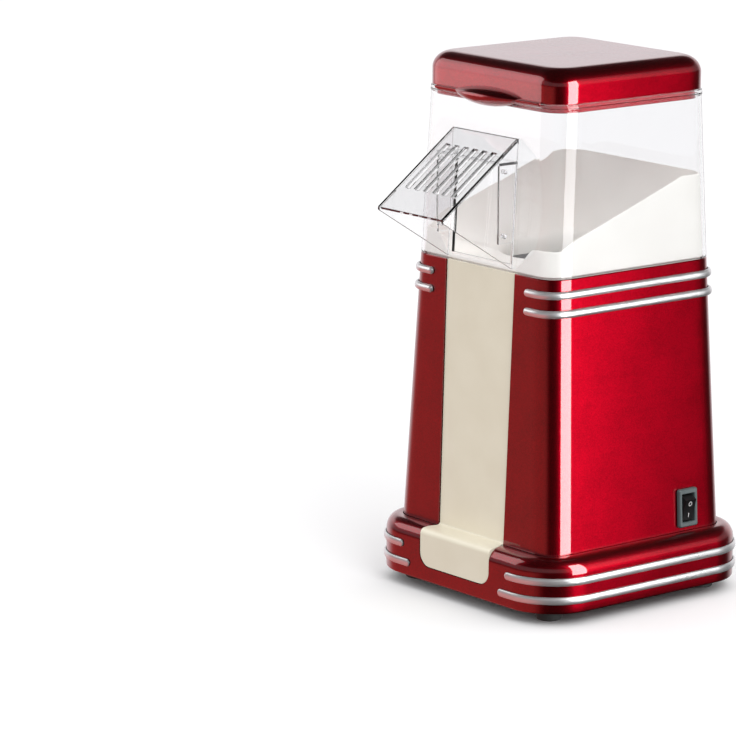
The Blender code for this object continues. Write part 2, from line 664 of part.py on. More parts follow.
def make_switch():
    """Rocker switch set square to the sloping right side. Its pieces are modelled along
    their own +Z, which the turn below points outwards."""
    slope = math.atan2(TOWER_FOOT[0] - TOWER_HEAD[0], TOWER_TOP - SEAM_HEIGHT)
    turn = (0.0, math.pi / 2 - slope, 0.0)
    face = (tower_half(SWITCH_Z)[0], SWITCH_Y, SWITCH_Z)
    outward = (math.cos(slope), 0.0, math.sin(slope))

    def off_face(distance):
        return tuple(face[i] + outward[i] * distance for i in range(3))

    def frame_ring(half, height):
        return rounded_ring(half[0], half[1], 0.0008, height, steps=2)

    rings = [frame_ring(SWITCH_BOX_HALF, -0.0150), frame_ring(SWITCH_BOX_HALF, 0.0008),
             frame_ring(BEZEL_HALF, 0.0008), frame_ring(BEZEL_HALF, 0.0020),
             frame_ring((BEZEL_HALF[0] - 0.0006, BEZEL_HALF[1] - 0.0006), 0.0026),
             frame_ring(SWITCH_WELL_HALF, 0.0026), frame_ring(SWITCH_WELL_HALF, -0.0095)]
    housing = loft("switch_housing", rings, GREY, location=off_face(0.0), rotation=turn)
    pivot = off_face(PIVOT_DEPTH)
    sideways = (math.pi / 2, 0.0, 0.0)
    cut(housing, turned("pivot_hole", [(0.0013, -0.0057), (0.0013, 0.0057)], GREY, count=10,
                        location=pivot, rotation=sideways))
    turned("rocker_pin", [(0.0010, -0.0055), (0.0010, 0.0055)], STEEL, count=10,
           location=pivot, rotation=sideways)
    outline = [(0.0060, 0.0049), (0.0, 0.0045), (-0.0060, 0.0049)]
    for step in range(9):
        angle = math.radians(172.0 + 196.0 * step / 8)
        depth = ROCKER_REACH * math.sin(angle)
        outline.append((ROCKER_REACH * math.cos(angle), max(depth, -0.0042)))
    rocked = []
    for x, z in outline:
        rocked.append((x * math.cos(ROCKER_REST) - z * math.sin(ROCKER_REST),
                       x * math.sin(ROCKER_REST) + z * math.cos(ROCKER_REST)))
    rings = [[(x, y, z) for x, z in rocked] for y in (ROCKER_HALF, -ROCKER_HALF)]
    rocker = loft("switch_rocker", rings, BLACK, location=pivot, rotation=turn)
    cut(rocker, turned("rocker_bore", [(0.0013, -0.0080), (0.0013, 0.0080)], BLACK, count=10,
                       location=pivot, rotation=sideways))
    for number, side in enumerate((-1, 1)):
        low = (side * 0.0040 - 0.0004, -0.0024, -0.0220)
        high = (side * 0.0040 + 0.0004, 0.0024, -0.0153)
        box("switch_terminal_%d" % (number + 1), low, high, BRASS, location=off_face(0.0), rotation=turn)


def make_gland():
    """Bush through the back wall, with the cord's passage left open, and its nut."""
    half_depth = tower_half(GLAND_Z)[1]
    turn = (-math.pi / 2, 0.0, 0.0)
    turned("cord_gland", [(0.0082, 0.0004), (0.0082, 0.0024), (0.0064, 0.0040), (0.0050, 0.0078),
                          (0.0034, 0.0078), (0.0034, -0.0075), (0.0054, -0.0075), (0.0054, 0.0004)],
           BLACK, count=16, closed=True, location=(0.0, half_depth, GLAND_Z), rotation=turn)
    turned("gland_nut", [(0.0086, -0.0056), (0.0086, -0.0026), (0.0057, -0.0026), (0.0057, -0.0056)],
           BLACK, count=6 * 2, closed=True, location=(0.0, half_depth, GLAND_Z), rotation=turn)


def make_chamber():
    """Aluminium cup with slanting air slots round its foot; its rim hangs on the duct."""
    radius = CHAMBER_RADIUS
    low = CHAMBER_BOTTOM
    profile = [(0.0070, low + 0.0040), (0.0290, low), (radius - 0.0030, low + 0.0022),
               (radius - 0.0008, low + 0.0060), (radius, CHAMBER_TOP - 0.0010),
               (0.0434, CHAMBER_TOP - 0.0010), (0.0434, CHAMBER_TOP), (radius - 0.0010, CHAMBER_TOP),
               (radius - 0.0018, low + 0.0064), (radius - 0.0036, low + 0.0032),
               (0.0288, low + 0.0010), (0.0070, low + 0.0050)]
    chamber = turned("popping_chamber", profile, ALUMINIUM, count=32)
    points = []
    faces = []
    for number in range(CHAMBER_SLOTS):
        angle = 2 * math.pi * (number + 0.5) / CHAMBER_SLOTS
        first = len(points)
        for z, lean in ((low + 0.0080, -0.035), (low + 0.0170, 0.035)):
            for reach, across in ((-0.003, -1), (0.003, -1), (0.003, 1), (-0.003, 1)):
                turn = angle + lean + across * 0.0009 / radius
                points.append(((radius + reach) * math.cos(turn), (radius + reach) * math.sin(turn), z))
        quads = ((3, 2, 1, 0), (4, 5, 6, 7), (0, 1, 5, 4), (1, 2, 6, 5), (2, 3, 7, 6), (3, 0, 4, 7))
        faces.extend(tuple(first + i for i in quad) for quad in quads)
    mesh = bpy.data.meshes.new("air_slot_cutter")
    mesh.from_pydata(points, [], faces)
    cut(chamber, place("air_slot_cutter", mesh, ALUMINIUM))
    inner = DUCT_RADIUS - 0.0010
    turned("air_duct", [(FAN_RADIUS, DUCT_BOTTOM), (FAN_RADIUS, DUCT_BOTTOM + 0.0010),
                        (DUCT_RADIUS, DUCT_BOTTOM + 0.0010), (DUCT_RADIUS, DUCT_TOP),
                        (inner, DUCT_TOP), (inner, DUCT_BOTTOM)], STEEL, count=32, closed=True)


def make_heater():
    """Two slotted mica boards that cross, with the heat wire wound round their edges."""
    half = 0.0320
    leaf = 0.0004
    notch = leaf + GAP
    middle = (HEATER_BOTTOM + HEATER_TOP) / 2
    for name, top_notch in (("mica_board_x", True), ("mica_board_y", False)):
        low = (-half, -leaf, HEATER_BOTTOM)
        high = (half, leaf, HEATER_TOP)
        turn = 0.0 if top_notch else math.pi / 2
        board = box(name, low, high, MICA, rotation=(0.0, 0.0, turn))
        z_low = middle - GAP / 2 if top_notch else HEATER_BOTTOM - 0.001
        z_high = HEATER_TOP + 0.001 if top_notch else middle + GAP / 2
        tool = box(name + "_notch", (-notch, -0.004, z_low), (notch, 0.004, z_high), MICA,
                   rotation=(0.0, 0.0, turn))
        cut(board, tool)
    turns = 5
    per_turn = 16
    radius = 0.0335
    points = []
    for step in range(turns * per_turn + 1):
        angle = 2 * math.pi * step / per_turn
        height = between(HEATER_BOTTOM + 0.003, HEATER_TOP - 0.003, step / (turns * per_turn))
        points.append((radius * math.cos(angle), radius * math.sin(angle), height))
    tube("heating_coil", points, 0.0006, HEAT_WIRE)


def tube(name, points, radius, spec):
    curve = bpy.data.curves.new(name, "CURVE")
    curve.dimensions = "3D"
    curve.bevel_depth = radius
    curve.bevel_resolution = 1
    curve.render_resolution_u = 0
    curve.use_fill_caps = True
    spline = curve.splines.new("POLY")
    spline.points.add(len(points) - 1)
    for point, position in zip(spline.points, points):
        point.co = (*position, 1.0)
    return place(name, curve, spec)


def smooth_route(stops, per_span=4):
    """Catmull-Rom curve through the stops, read off at even shares of each span."""
    padded = [stops[0], *stops, stops[-1]]
    points = []
    for i in range(len(stops) - 1):
        before, here, there, beyond = padded[i:i + 4]
        for step in range(per_span):
            t = step / per_span
            points.append(tuple(0.5 * (2 * here[k] + (there[k] - before[k]) * t
                                       + (2 * before[k] - 5 * here[k] + 4 * there[k] - beyond[k]) * t ** 2
                                       + (3 * here[k] - before[k] - 3 * there[k] + beyond[k]) * t ** 3)
                                for k in range(3)))
    points.append(stops[-1])
    return points


def make_fan():
    """Drum with a round inlet in its floor and an outlet under the duct, on four legs."""
    inner = FAN_RADIUS - 0.0016
    housing = turned("fan_housing", [(FAN_RADIUS, FAN_FLOOR), (FAN_RADIUS, FAN_TOP), (0.0415, FAN_TOP),
                                     (0.0415, FAN_TOP - 0.0015), (inner, FAN_TOP - 0.0015),
                                     (inner, FAN_FLOOR + 0.0016), (0.0240, FAN_FLOOR + 0.0016),
                                     (0.0240, FAN_FLOOR)], BLACK, count=32, closed=True)
    add(housing, posts("fan_legs", leg_places(), 0.0035, PLATE_TOP + GAP, FAN_FLOOR + 0.0012, BLACK))
    pilots = leg_places() + [(-0.0300, 0.0), (0.0300, 0.0)]
    cut(housing, posts("fan_pilots", pilots[:4], 0.0015, 0.0, 0.0220, BLACK, count=8))
    cut(housing, posts("bracket_pilots", pilots[4:], 0.0015, FAN_FLOOR - 0.002, FAN_FLOOR + 0.004,
                       BLACK, count=8))
    for number, centre in enumerate(leg_places()):
        screw("fan_screw_%d" % (number + 1), centre, 0.0050, 0.0071, 0.0200, 0.0032, 0.0012)
    make_impeller()
    turned("motor_shaft", [(0.0007, 0.0340), (SHAFT_RADIUS, 0.0344), (SHAFT_RADIUS, 0.0764),
                           (0.0007, 0.0768)], STEEL, count=12)


def make_impeller():
    """Curved blades round a hub, under a round plate that carries them."""
    low = FAN_FLOOR + 0.0045
    high = low + 0.0140
    hub = 0.0055
    blade_half = 0.0006
    radii = (hub, 0.0150, 0.0245, IMPELLER_RADIUS)
    outline = []
    for number in range(BLADES):
        start = 2 * math.pi * number / BLADES
        for side, order in ((-1, radii), (1, radii[::-1])):
            for radius in order:
                angle = start + 0.55 * (radius - hub) / (IMPELLER_RADIUS - hub) + side * blade_half / radius
                outline.append((radius * math.cos(angle), radius * math.sin(angle)))
    rings = [[(x, y, z) for x, y in outline] for z in (low, high)]
    impeller = loft("fan_impeller", rings, BLACK)
    add(impeller, turned("impeller_plate", [(IMPELLER_RADIUS - 0.003, high - 0.0006),
                                            (IMPELLER_RADIUS - 0.003, high + 0.0010)], BLACK, count=32))
    cut(impeller, turned("impeller_bore", [(0.00135, low - 0.005), (0.00135, high + 0.005)], BLACK, count=12))
    return impeller


def make_motor():
    """Small can motor hung under a bridge that spans the fan's inlet."""
    motor = turned("motor", [(0.0120, MOTOR_BOTTOM), (MOTOR_RADIUS, MOTOR_BOTTOM + 0.0015),
                             (MOTOR_RADIUS, MOTOR_TOP - 0.0015), (0.0130, MOTOR_TOP),
                             (0.0050, MOTOR_TOP), (0.0050, MOTOR_TOP + 0.0026)], STEEL)
    cut(motor, turned("shaft_bore", [(0.0013, 0.0330), (0.0013, 0.0600)], STEEL, count=12))
    fixings = [(-0.0085, 0.0), (0.0085, 0.0)]
    cut(motor, posts("motor_pilots", fixings, 0.0013, MOTOR_TOP - 0.0045, MOTOR_TOP + 0.004, STEEL, count=8))
    low = MOTOR_TOP + GAP
    high = FAN_FLOOR - GAP
    bridge = box("motor_bridge", (-0.0350, -0.0070, low), (0.0350, 0.0070, high), STEEL)
    ends = [(-0.0300, 0.0), (0.0300, 0.0)]
    cut(bridge, posts("bridge_holes", fixings + ends, 0.0016, 0.040, 0.070, STEEL, count=8))
    cut(bridge, posts("bridge_centre", [(0.0, 0.0)], 0.0056, 0.040, 0.070, STEEL, count=16))
    for number, (x, y) in enumerate(fixings):
        turned("motor_screw_%d" % (number + 1), [(0.0005, MOTOR_TOP - 0.0040), (0.0010, MOTOR_TOP - 0.0034),
                                                 (0.0010, high + GAP), (0.0024, high + GAP),
                                                 (0.0024, high + 0.0014), (0.0018, high + 0.0019)],
               STEEL, count=10, centre=(x, y))
    for number, (x, y) in enumerate(ends):
        turned("bridge_screw_%d" % (number + 1), [(0.0018, low - 0.0022), (0.0026, low - 0.0016),
                                                  (0.0026, low - GAP), (0.0012, low - GAP),
                                                  (0.0012, FAN_FLOOR + 0.0026), (0.0006, FAN_FLOOR + 0.0030)],
               STEEL, count=10, centre=(x, y))
    board = box("rectifier_board", (-0.0140, -0.0110, 0.0108), (0.0140, 0.0110, 0.0122), BOARD)
    parts = [((x - 0.0022, y - 0.0014, 0.0118), (x + 0.0022, y + 0.0014, 0.0144))
             for x in (-0.0090, 0.0090) for y in (-0.0060, 0.0060)]
    add(board, several("diodes", parts, BOARD))


def make_safety_and_wires():
    """Thermostat and fuse on the duct's back, and the wires that stay inside the tower."""
    turned("thermostat", [(0.0062, 0.0), (0.0080, 0.0003), (0.0080, 0.0035), (0.0068, 0.0035),
                          (0.0068, 0.0066)], BLACK, count=20,
           location=(0.0, DUCT_RADIUS + 0.0004, 0.1500), rotation=(-math.pi / 2, 0.0, 0.0))
    turned("thermal_fuse", [(0.0008, 0.1400), (0.0019, 0.1410), (0.0019, 0.1540), (0.0008, 0.1550)],
           STEEL, count=10, centre=(-0.0180, 0.0440))
    routes = {
        "supply_wire_brown": ([(0.0012, 0.0560, 0.0500), (0.0080, 0.0500, 0.0490), (0.0220, 0.0450, 0.0460),
                               (0.0340, 0.0400, 0.0460), (0.0400, 0.0370, 0.0480)], WIRE_BROWN),
        "switched_wire_brown": ([(0.0400, 0.0360, 0.0560), (0.0420, 0.0440, 0.0640), (0.0440, 0.0480, 0.0860),
                                 (0.0400, 0.0500, 0.1120), (0.0240, 0.0540, 0.1340), (0.0060, 0.0550, 0.1480)],
                                WIRE_BROWN),
        "supply_wire_blue": ([(-0.0012, 0.0560, 0.0500), (-0.0080, 0.0500, 0.0500), (-0.0240, 0.0460, 0.0440),
                              (-0.0380, 0.0360, 0.0300), (-0.0400, 0.0160, 0.0180), (-0.0170, 0.0080, 0.0120)],
                             WIRE_BLUE),
        "heater_wire_white": ([(-0.0060, 0.0550, 0.1480), (-0.0240, 0.0520, 0.1340), (-0.0400, 0.0460, 0.1120),
                               (-0.0420, 0.0430, 0.0840), (-0.0400, 0.0400, 0.0500), (-0.0330, 0.0100, 0.0240),
                               (-0.0170, -0.0040, 0.0120)], WIRE_WHITE),
    }
    for name, (stops, spec) in routes.items():
        tube(name, smooth_route(stops), 0.0009, spec)


def build():
    clear_scene()
    axis = bpy.data.objects.new("tower_axis", None)
    bpy.context.scene.collection.objects.link(axis)
    axis.location = (0.0, AXIS_SHIFT, 0.0)
    make_plinth()
    make_bottom_plate()
    make_feet()
    make_tower()
    make_front_panel()
    make_strips()
    make_slide()
    make_hood()
    make_chute()
    make_lid()
    make_switch()
    make_gland()
    make_chamber()
    make_heater()
    make_fan()
    make_motor()
    make_safety_and_wires()


build()
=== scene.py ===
import math

import bmesh
import bpy
import numpy as np
from mathutils import Matrix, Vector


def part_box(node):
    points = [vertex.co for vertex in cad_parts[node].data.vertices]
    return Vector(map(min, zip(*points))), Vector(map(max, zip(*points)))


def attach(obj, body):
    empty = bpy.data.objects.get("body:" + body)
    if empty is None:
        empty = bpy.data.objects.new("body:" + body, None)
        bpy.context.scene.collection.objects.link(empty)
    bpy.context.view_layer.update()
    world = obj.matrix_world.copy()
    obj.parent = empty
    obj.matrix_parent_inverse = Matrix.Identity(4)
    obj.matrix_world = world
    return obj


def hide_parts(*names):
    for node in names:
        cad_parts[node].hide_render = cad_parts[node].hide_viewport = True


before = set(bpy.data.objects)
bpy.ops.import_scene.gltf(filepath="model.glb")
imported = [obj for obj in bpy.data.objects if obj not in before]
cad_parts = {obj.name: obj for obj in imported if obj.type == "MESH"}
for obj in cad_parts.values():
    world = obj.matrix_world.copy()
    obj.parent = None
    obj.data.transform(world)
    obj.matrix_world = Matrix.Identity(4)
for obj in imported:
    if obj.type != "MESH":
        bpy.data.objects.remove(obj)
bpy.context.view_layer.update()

# Everything below is in metres. The machine's own upright axis lies axisY behind the origin.
axisY = (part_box("tower_shell")[0].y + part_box("tower_shell")[1].y) / 2
upright = np.array([0.0, 0.0, 1.0])

studio = {
    "cameraAt": (1.64811, -1.456075, 0.60071),
    "cameraTurn": 51.06,             # degrees round from the front, towards the right side
    "cameraTilt": 12.21,             # degrees looking down
    "cameraRoll": 0.30,
    "lens": 196.1,
    "sensor": 36.0,
    "seenFrom": (0.01, 100.0),
    "keyAim": 0.15,                  # the height that the key light faces
    "floorHalf": 9.0,
    "floorColours": ((0.83, 0.83, 0.83), (0.84, 0.84, 0.84)),
}

# name: turn, distance, middle height, width, tall, brightness, seen in reflections
softLights = {
    "rightCard": (105.0, 0.62, 0.25, 0.37, 0.70, 8.0, True),
    "leftCard": (-51.0, 0.50, 0.41, 0.35, 0.42, 1.4, True),
    "keyLight": (75.0, 1.30, 1.10, 0.80, 0.80, 4.0, False),
}

room = {
    "white": (1.0, 1.0, 1.0),
    "ambientLow": (0.42, 0.42, 0.42),
    "ambientHigh": (1.30, 1.30, 1.31),
    "dark": (0.014, 0.013, 0.013),
    "band": (0.26, 0.26, 0.27),
    "low": (0.62, 0.14, 0.13),
    "lowTurn": -48.0,
    "back": (0.96, 0.93, 0.95),
    "backTurn": 231.0,
    # how high a direction points, or how well it fits a turn, where each part starts and is full
    "ambientRise": (-0.6, 0.6),
    "topFade": (0.50, 0.36),
    "bandRise": (-0.02, 0.10),
    "backRise": (-0.60, -0.10),
    "backFit": (0.45, 0.80),
    "lowFade": (0.02, -0.14),
    "lowFit": (0.10, 0.60),
    "ceiling": (0.45, 0.80),
}


# A shader node with its settings; an input is given a value or, when it is a socket, a link.
def addNode(tree, kind, inputs=None, **settings):
    node = tree.nodes.new("ShaderNode" + kind)
    for key, value in settings.items():
        setattr(node, key, value)
    for key, value in (inputs or {}).items():
        if isinstance(value, bpy.types.NodeSocket):
            tree.links.new(value, node.inputs[key])
        else:
            node.inputs[key].default_value = value
    return node


# Values put together one after another: their sum, product, power or largest.
def combined(tree, operation, first, *others):
    for other in others:
        first = addNode(tree, "Math", {0: first, 1: other}, operation=operation).outputs[0]
    return first


# A colour that goes from the first to the second as a mask goes from 0 to 1.
def blended(tree, mask, first, second):
    colours = {key: value if isinstance(value, bpy.types.NodeSocket) else (*value, 1.0)
               for key, value in (("A", first), ("B", second))}
    return addNode(tree, "Mix", {"Factor": mask, **colours}, data_type="RGBA").outputs["Result"]


# A value that goes evenly from low to high as a mask goes over its own range, and stays there beyond.
def ranged(tree, mask, low, high, fromLow=0.3, fromHigh=0.7, **settings):
    return addNode(tree, "MapRange", {"Value": mask, "From Min": fromLow, "From Max": fromHigh,
                                      "To Min": low, "To Max": high}, **settings).outputs[0]


# A mask that climbs smoothly from 0 to 1 as a value goes through a span.
def rising(tree, value, span):
    return ranged(tree, value, 0.0, 1.0, *span, interpolation_type="SMOOTHSTEP")


# Noise over a place, with its scale, its detail and other named inputs.
def noise(tree, where, scale, detail, **more):
    return addNode(tree, "TexNoise", {"Vector": where, "Scale": scale, "Detail": detail, **more}).outputs[0]


# A material with plain values on its shader.
def newMaterial(name, plain=None):
    made = bpy.data.materials.new(name)
    made.use_nodes = True
    for label, value in (plain or {}).items():
        made.node_tree.nodes["Principled BSDF"].inputs[label].default_value = value
    return made, made.node_tree


# An object put into the scene.
def intoScene(name, data):
    made = bpy.data.objects.new(name, data)
    bpy.context.scene.collection.objects.link(made)
    return made


# A matrix from three directions and a place.
def placed(right, up, back, place):
    rows = np.column_stack([right, up, back, place])
    return Matrix([*rows.tolist(), [0.0, 0.0, 0.0, 1.0]])


# The level direction at a turn in degrees, (sin turn, -cos turn, 0): 0 is the front, 90 the right side.
def heading(turn):
    return np.array([math.sin(math.radians(turn)), -math.cos(math.radians(turn)), 0.0])


# Camera axes from turn, tilt and roll: back = heading times cos tilt, plus sin tilt upwards; right and
# up are turned about it by the roll.
def makeCamera():
    tilt, roll = math.radians(studio["cameraTilt"]), math.radians(studio["cameraRoll"])
    level = heading(studio["cameraTurn"])
    back = level * math.cos(tilt) + upright * math.sin(tilt)
    flatRight = np.cross(upright, level)
    flatUp = np.cross(back, flatRight)
    right = math.cos(roll) * flatRight + math.sin(roll) * flatUp
    up = math.cos(roll) * flatUp - math.sin(roll) * flatRight
    data = bpy.data.cameras.new("camera")
    data.lens, data.sensor_width = studio["lens"], studio["sensor"]
    data.clip_start, data.clip_end = studio["seenFrom"]
    camera = intoScene("camera", data)
    camera.matrix_world = placed(right, up, back, studio["cameraAt"])
    bpy.context.scene.camera = camera


# A soft light stands at a turn round the machine and faces it; its power is brightness times pi times
# its area. The cards show in reflections only, the key light lights dull surfaces only.
def makeSoftLights():
    for name, (turn, distance, height, width, tall, brightness, card) in softLights.items():
        data = bpy.data.lights.new(name, "AREA")
        data.shape, data.size, data.size_y = "RECTANGLE", width, tall
        data.energy = brightness * math.pi * width * tall
        light = intoScene(name, data)
        out = heading(turn)
        place = out * distance + np.array([0.0, axisY, height])
        back = out if card else place - np.array([0.0, axisY, studio["keyAim"]])
        back = back / np.linalg.norm(back)
        right = np.cross(upright, back)
        right /= np.linalg.norm(right)
        light.matrix_world = placed(right, np.cross(back, right), back, place)
        light.visible_camera = False
        light.visible_transmission = False
        light.visible_glossy = card
        light.visible_diffuse = not card


# The room. The camera sees white; dull surfaces get even light that is stronger from above;
# reflections see a dark room with a pale band at eye height, a bright wall behind and a red glow low
# on the left; clear pieces see white with a dark ceiling.
def makeRoom():
    world = bpy.data.worlds.new("studioRoom")
    world.use_nodes = True
    tree = world.node_tree
    tree.nodes.clear()
    direction = addNode(tree, "TexCoord").outputs["Generated"]
    height = addNode(tree, "SeparateXYZ", {0: direction}).outputs["Z"]

    # The mask is the product of how well the direction fits a turn and the given height masks.
    def towards(turn, fit, *masks):
        along = addNode(tree, "VectorMath", {0: direction, 1: tuple(heading(room[turn]))},
                        operation="DOT_PRODUCT").outputs["Value"]
        return combined(tree, "MULTIPLY", rising(tree, along, room[fit]), *masks)

    top = rising(tree, height, room["topFade"])
    band = combined(tree, "MULTIPLY", rising(tree, height, room["bandRise"]), top)
    back = towards("backTurn", "backFit", rising(tree, height, room["backRise"]), top)
    low = towards("lowTurn", "lowFit", rising(tree, height, room["lowFade"]))
    seen = blended(tree, low, room["dark"], room["low"])
    seen = blended(tree, band, seen, room["band"])
    seen = blended(tree, back, seen, room["back"])
    through = blended(tree, rising(tree, height, room["ceiling"]), room["white"], room["dark"])
    even = blended(tree, rising(tree, height, room["ambientRise"]), room["ambientLow"], room["ambientHigh"])
    path = addNode(tree, "LightPath").outputs
    for ray, colour in (("Transmission", through), ("Diffuse", even), ("Camera", room["white"])):
        seen = blended(tree, path["Is %s Ray" % ray], seen, colour)
    air = addNode(tree, "Background", {"Color": seen})
    addNode(tree, "OutputWorld", {"Surface": air.outputs[0]})
    bpy.context.scene.world = world


# The floor: one square, half wide each way, in two close tones of paper. It lights nothing.
def makeFloor():
    half = studio["floorHalf"]
    mesh = bpy.data.meshes.new("floor")
    mesh.from_pydata([(-half, -half, 0.0), (half, -half, 0.0), (half, half, 0.0), (-half, half, 0.0)],
                     [], [(0, 1, 2, 3)])
    floor = intoScene("floor", mesh)
    paper, tree = newMaterial("floorPaper", {"Roughness": 0.9, "Specular IOR Level": 0.0})
    speck = noise(tree, addNode(tree, "TexCoord").outputs["Object"], 3.0, 4.0)
    tree.links.new(blended(tree, speck, *studio["floorColours"]),
                   tree.nodes["Principled BSDF"].inputs["Base Color"])
    mesh.materials.append(paper)
    floor.visible_glossy = False
    floor.visible_shadow = False
    floor.visible_diffuse = False


makeCamera()
makeSoftLights()
makeRoom()
makeFloor()
bpy.context.scene.view_settings.view_transform = "Standard"
print("studio: camera, %d soft lights, floor" % len(softLights))


# A shader group from its inputs' names and values. The pattern gets the group, its inputs and the
# place on the piece, and gives the outputs by name.
def newGroup(name, inputs, pattern):
    group = bpy.data.node_groups.new(name, "ShaderNodeTree")
    for label, value in inputs.items():
        kind = "NodeSocketVector" if isinstance(value, tuple) else "NodeSocketFloat"
        group.interface.new_socket(label, in_out="INPUT", socket_type=kind).default_value = value
    given = group.nodes.new("NodeGroupInput").outputs
    made = pattern(group, given, addNode(group, "TexCoord").outputs["Object"])
    for label in made:
        group.interface.new_socket(label, in_out="OUTPUT", socket_type="NodeSocketFloat")
    out = group.nodes.new("NodeGroupOutput").inputs
    for label, socket in made.items():
        group.links.new(socket, out[label])
    return group


# Flakes: every cell of a fine Voronoi pattern has its own brightness and its own height.
def flakePattern(group, given, where):
    cells = addNode(group, "TexVoronoi", {"Vector": where, "Scale": given["scale"]})
    shade = addNode(group, "SeparateColor", {0: cells.outputs["Color"]}).outputs
    mixed = addNode(group, "Mix", {"Factor": given["spread"], "A": noise(group, where, 60.0, 3.0),
                                   "B": shade[0]}, data_type="FLOAT")
    return {"mask": mixed.outputs["Result"], "height": shade[1]}


# Grain: broad patches of noise for colour and gloss, and fine noise for the moulded texture.
def grainPattern(group, given, where):
    return {"patch": noise(group, where, given["patchScale"], 5.0),
            "height": noise(group, where, given["scale"], 3.0, Roughness=0.6)}


# Handling marks: broad soft noise raised to a power, broken up by short thin streaks.
def smudgePattern(group, given, where):
    broad = noise(group, where, given["scale"], 4.0, Distortion=0.6)
    turned = addNode(group, "Mapping", {"Vector": where, "Rotation": (0.4, 0.3, 0.7),
                                        "Scale": (30.0, 30.0, 700.0)}).outputs[0]
    raised = combined(group, "POWER", broad, given["sharpness"])
    return {"mask": combined(group, "MULTIPLY", raised, noise(group, turned, 1.0, 2.0))}


# Dust: it lies where the surface faces up, in patches.
def dustPattern(group, given, where):
    facing = addNode(group, "NewGeometry").outputs["Normal"]
    up = addNode(group, "SeparateXYZ", {0: facing}).outputs["Z"]
    patch = noise(group, where, 350.0, 6.0, Roughness=0.7)
    level = ranged(group, up, 0.0, 1.0, 0.35, 1.0)
    return {"mask": combined(group, "MULTIPLY", level, patch, given["amount"])}


# Brushed lines: noise drawn out along the directions whose stretch is small.
def brushedPattern(group, given, where):
    drawn = addNode(group, "VectorMath", {0: where, 1: given["stretch"]}, operation="MULTIPLY").outputs[0]
    return {"mask": noise(group, drawn, 1.0, 4.0, Roughness=0.65)}


groups = {
    "flake": newGroup("paintFlake", {"scale": 2600.0, "spread": 0.5}, flakePattern),
    "grain": newGroup("mouldedGrain", {"scale": 900.0, "patchScale": 40.0}, grainPattern),
    "smudge": newGroup("handlingMarks", {"scale": 22.0, "sharpness": 3.0}, smudgePattern),
    "dust": newGroup("settledDust", {"amount": 0.3}, dustPattern),
    "brushed": newGroup("brushedLines", {"stretch": (40.0, 40.0, 2500.0)}, brushedPattern),
}


# The outputs of a shader group placed in a material with its own values.
def placeGroup(tree, name, **values):
    node = addNode(tree, "Group", node_tree=groups[name])
    for label, value in values.items():
        node.inputs[label].default_value = value
    return node.outputs


# A material's colour, its roughness and its bump, linked to its shader. The bump is a height times
# distance, in metres, times strength.
def finished(made, colour, gloss, height, strength, distance):
    tree = made.node_tree
    bump = addNode(tree, "Bump", {"Height": height, "Strength": strength, "Distance": distance})
    for label, socket in (("Base Color", colour), ("Roughness", gloss), ("Normal", bump.outputs[0])):
        tree.links.new(socket, tree.nodes["Principled BSDF"].inputs[label])
    return made


paint = {"dark": (0.150, 0.0004, 0.004), "bright": (0.42, 0.0008, 0.012), "metallic": 0.96,
         "coatRoughness": 0.03, "coatIor": 1.75, "gloss": (0.30, 0.40), "dust": (0.5, 0.42, 0.42)}


# Candy paint: dark and bright red flakes under a clear coat, with smudges that dull it.
def candyPaint():
    made, tree = newMaterial("candyRedPaint", {
        "Metallic": paint["metallic"], "Specular IOR Level": 0.0, "Coat Weight": 1.0,
        "Coat Roughness": paint["coatRoughness"], "Coat IOR": paint["coatIor"]})
    flake = placeGroup(tree, "flake", scale=2600.0, spread=0.55)
    smudge = placeGroup(tree, "smudge", scale=14.0, sharpness=3.0)["mask"]
    colour = blended(tree, flake["mask"], paint["dark"], paint["bright"])
    colour = blended(tree, placeGroup(tree, "dust", amount=0.05)["mask"], colour, paint["dust"])
    return finished(made, colour, ranged(tree, smudge, *paint["gloss"], 0.0, 0.3), flake["height"],
                    strength=0.10, distance=0.00004)


plastics = {
    # name: first colour, second colour, gloss low, gloss high, grain scale, bump, dust
    "ivoryPlastic": ((0.74, 0.685, 0.545), (0.78, 0.725, 0.585), 0.27, 0.36, 1500.0, 0.10, 0.10),
    "slidePlastic": ((0.88, 0.87, 0.82), (0.92, 0.91, 0.86), 0.30, 0.40, 1300.0, 0.12, 0.06),
    "blackPlastic": ((0.002, 0.002, 0.003), (0.006, 0.006, 0.007), 0.24, 0.38, 1400.0, 0.25, 0.03),
    "bezelPlastic": ((0.060, 0.085, 0.088), (0.085, 0.110, 0.112), 0.32, 0.46, 1800.0, 0.25, 0.06),
    "markPlastic": ((0.74, 0.74, 0.74), (0.82, 0.82, 0.82), 0.40, 0.50, 1800.0, 0.10, 0.05),
    "blackRubber": ((0.012, 0.012, 0.012), (0.030, 0.029, 0.028), 0.62, 0.82, 800.0, 0.50, 0.35),
    "brownLead": ((0.13, 0.050, 0.018), (0.18, 0.075, 0.028), 0.38, 0.50, 900.0, 0.15, 0.10),
    "blueLead": ((0.020, 0.085, 0.36), (0.032, 0.12, 0.45), 0.38, 0.50, 900.0, 0.15, 0.10),
    "whiteLead": ((0.70, 0.70, 0.67), (0.78, 0.78, 0.75), 0.38, 0.50, 900.0, 0.15, 0.10),
}


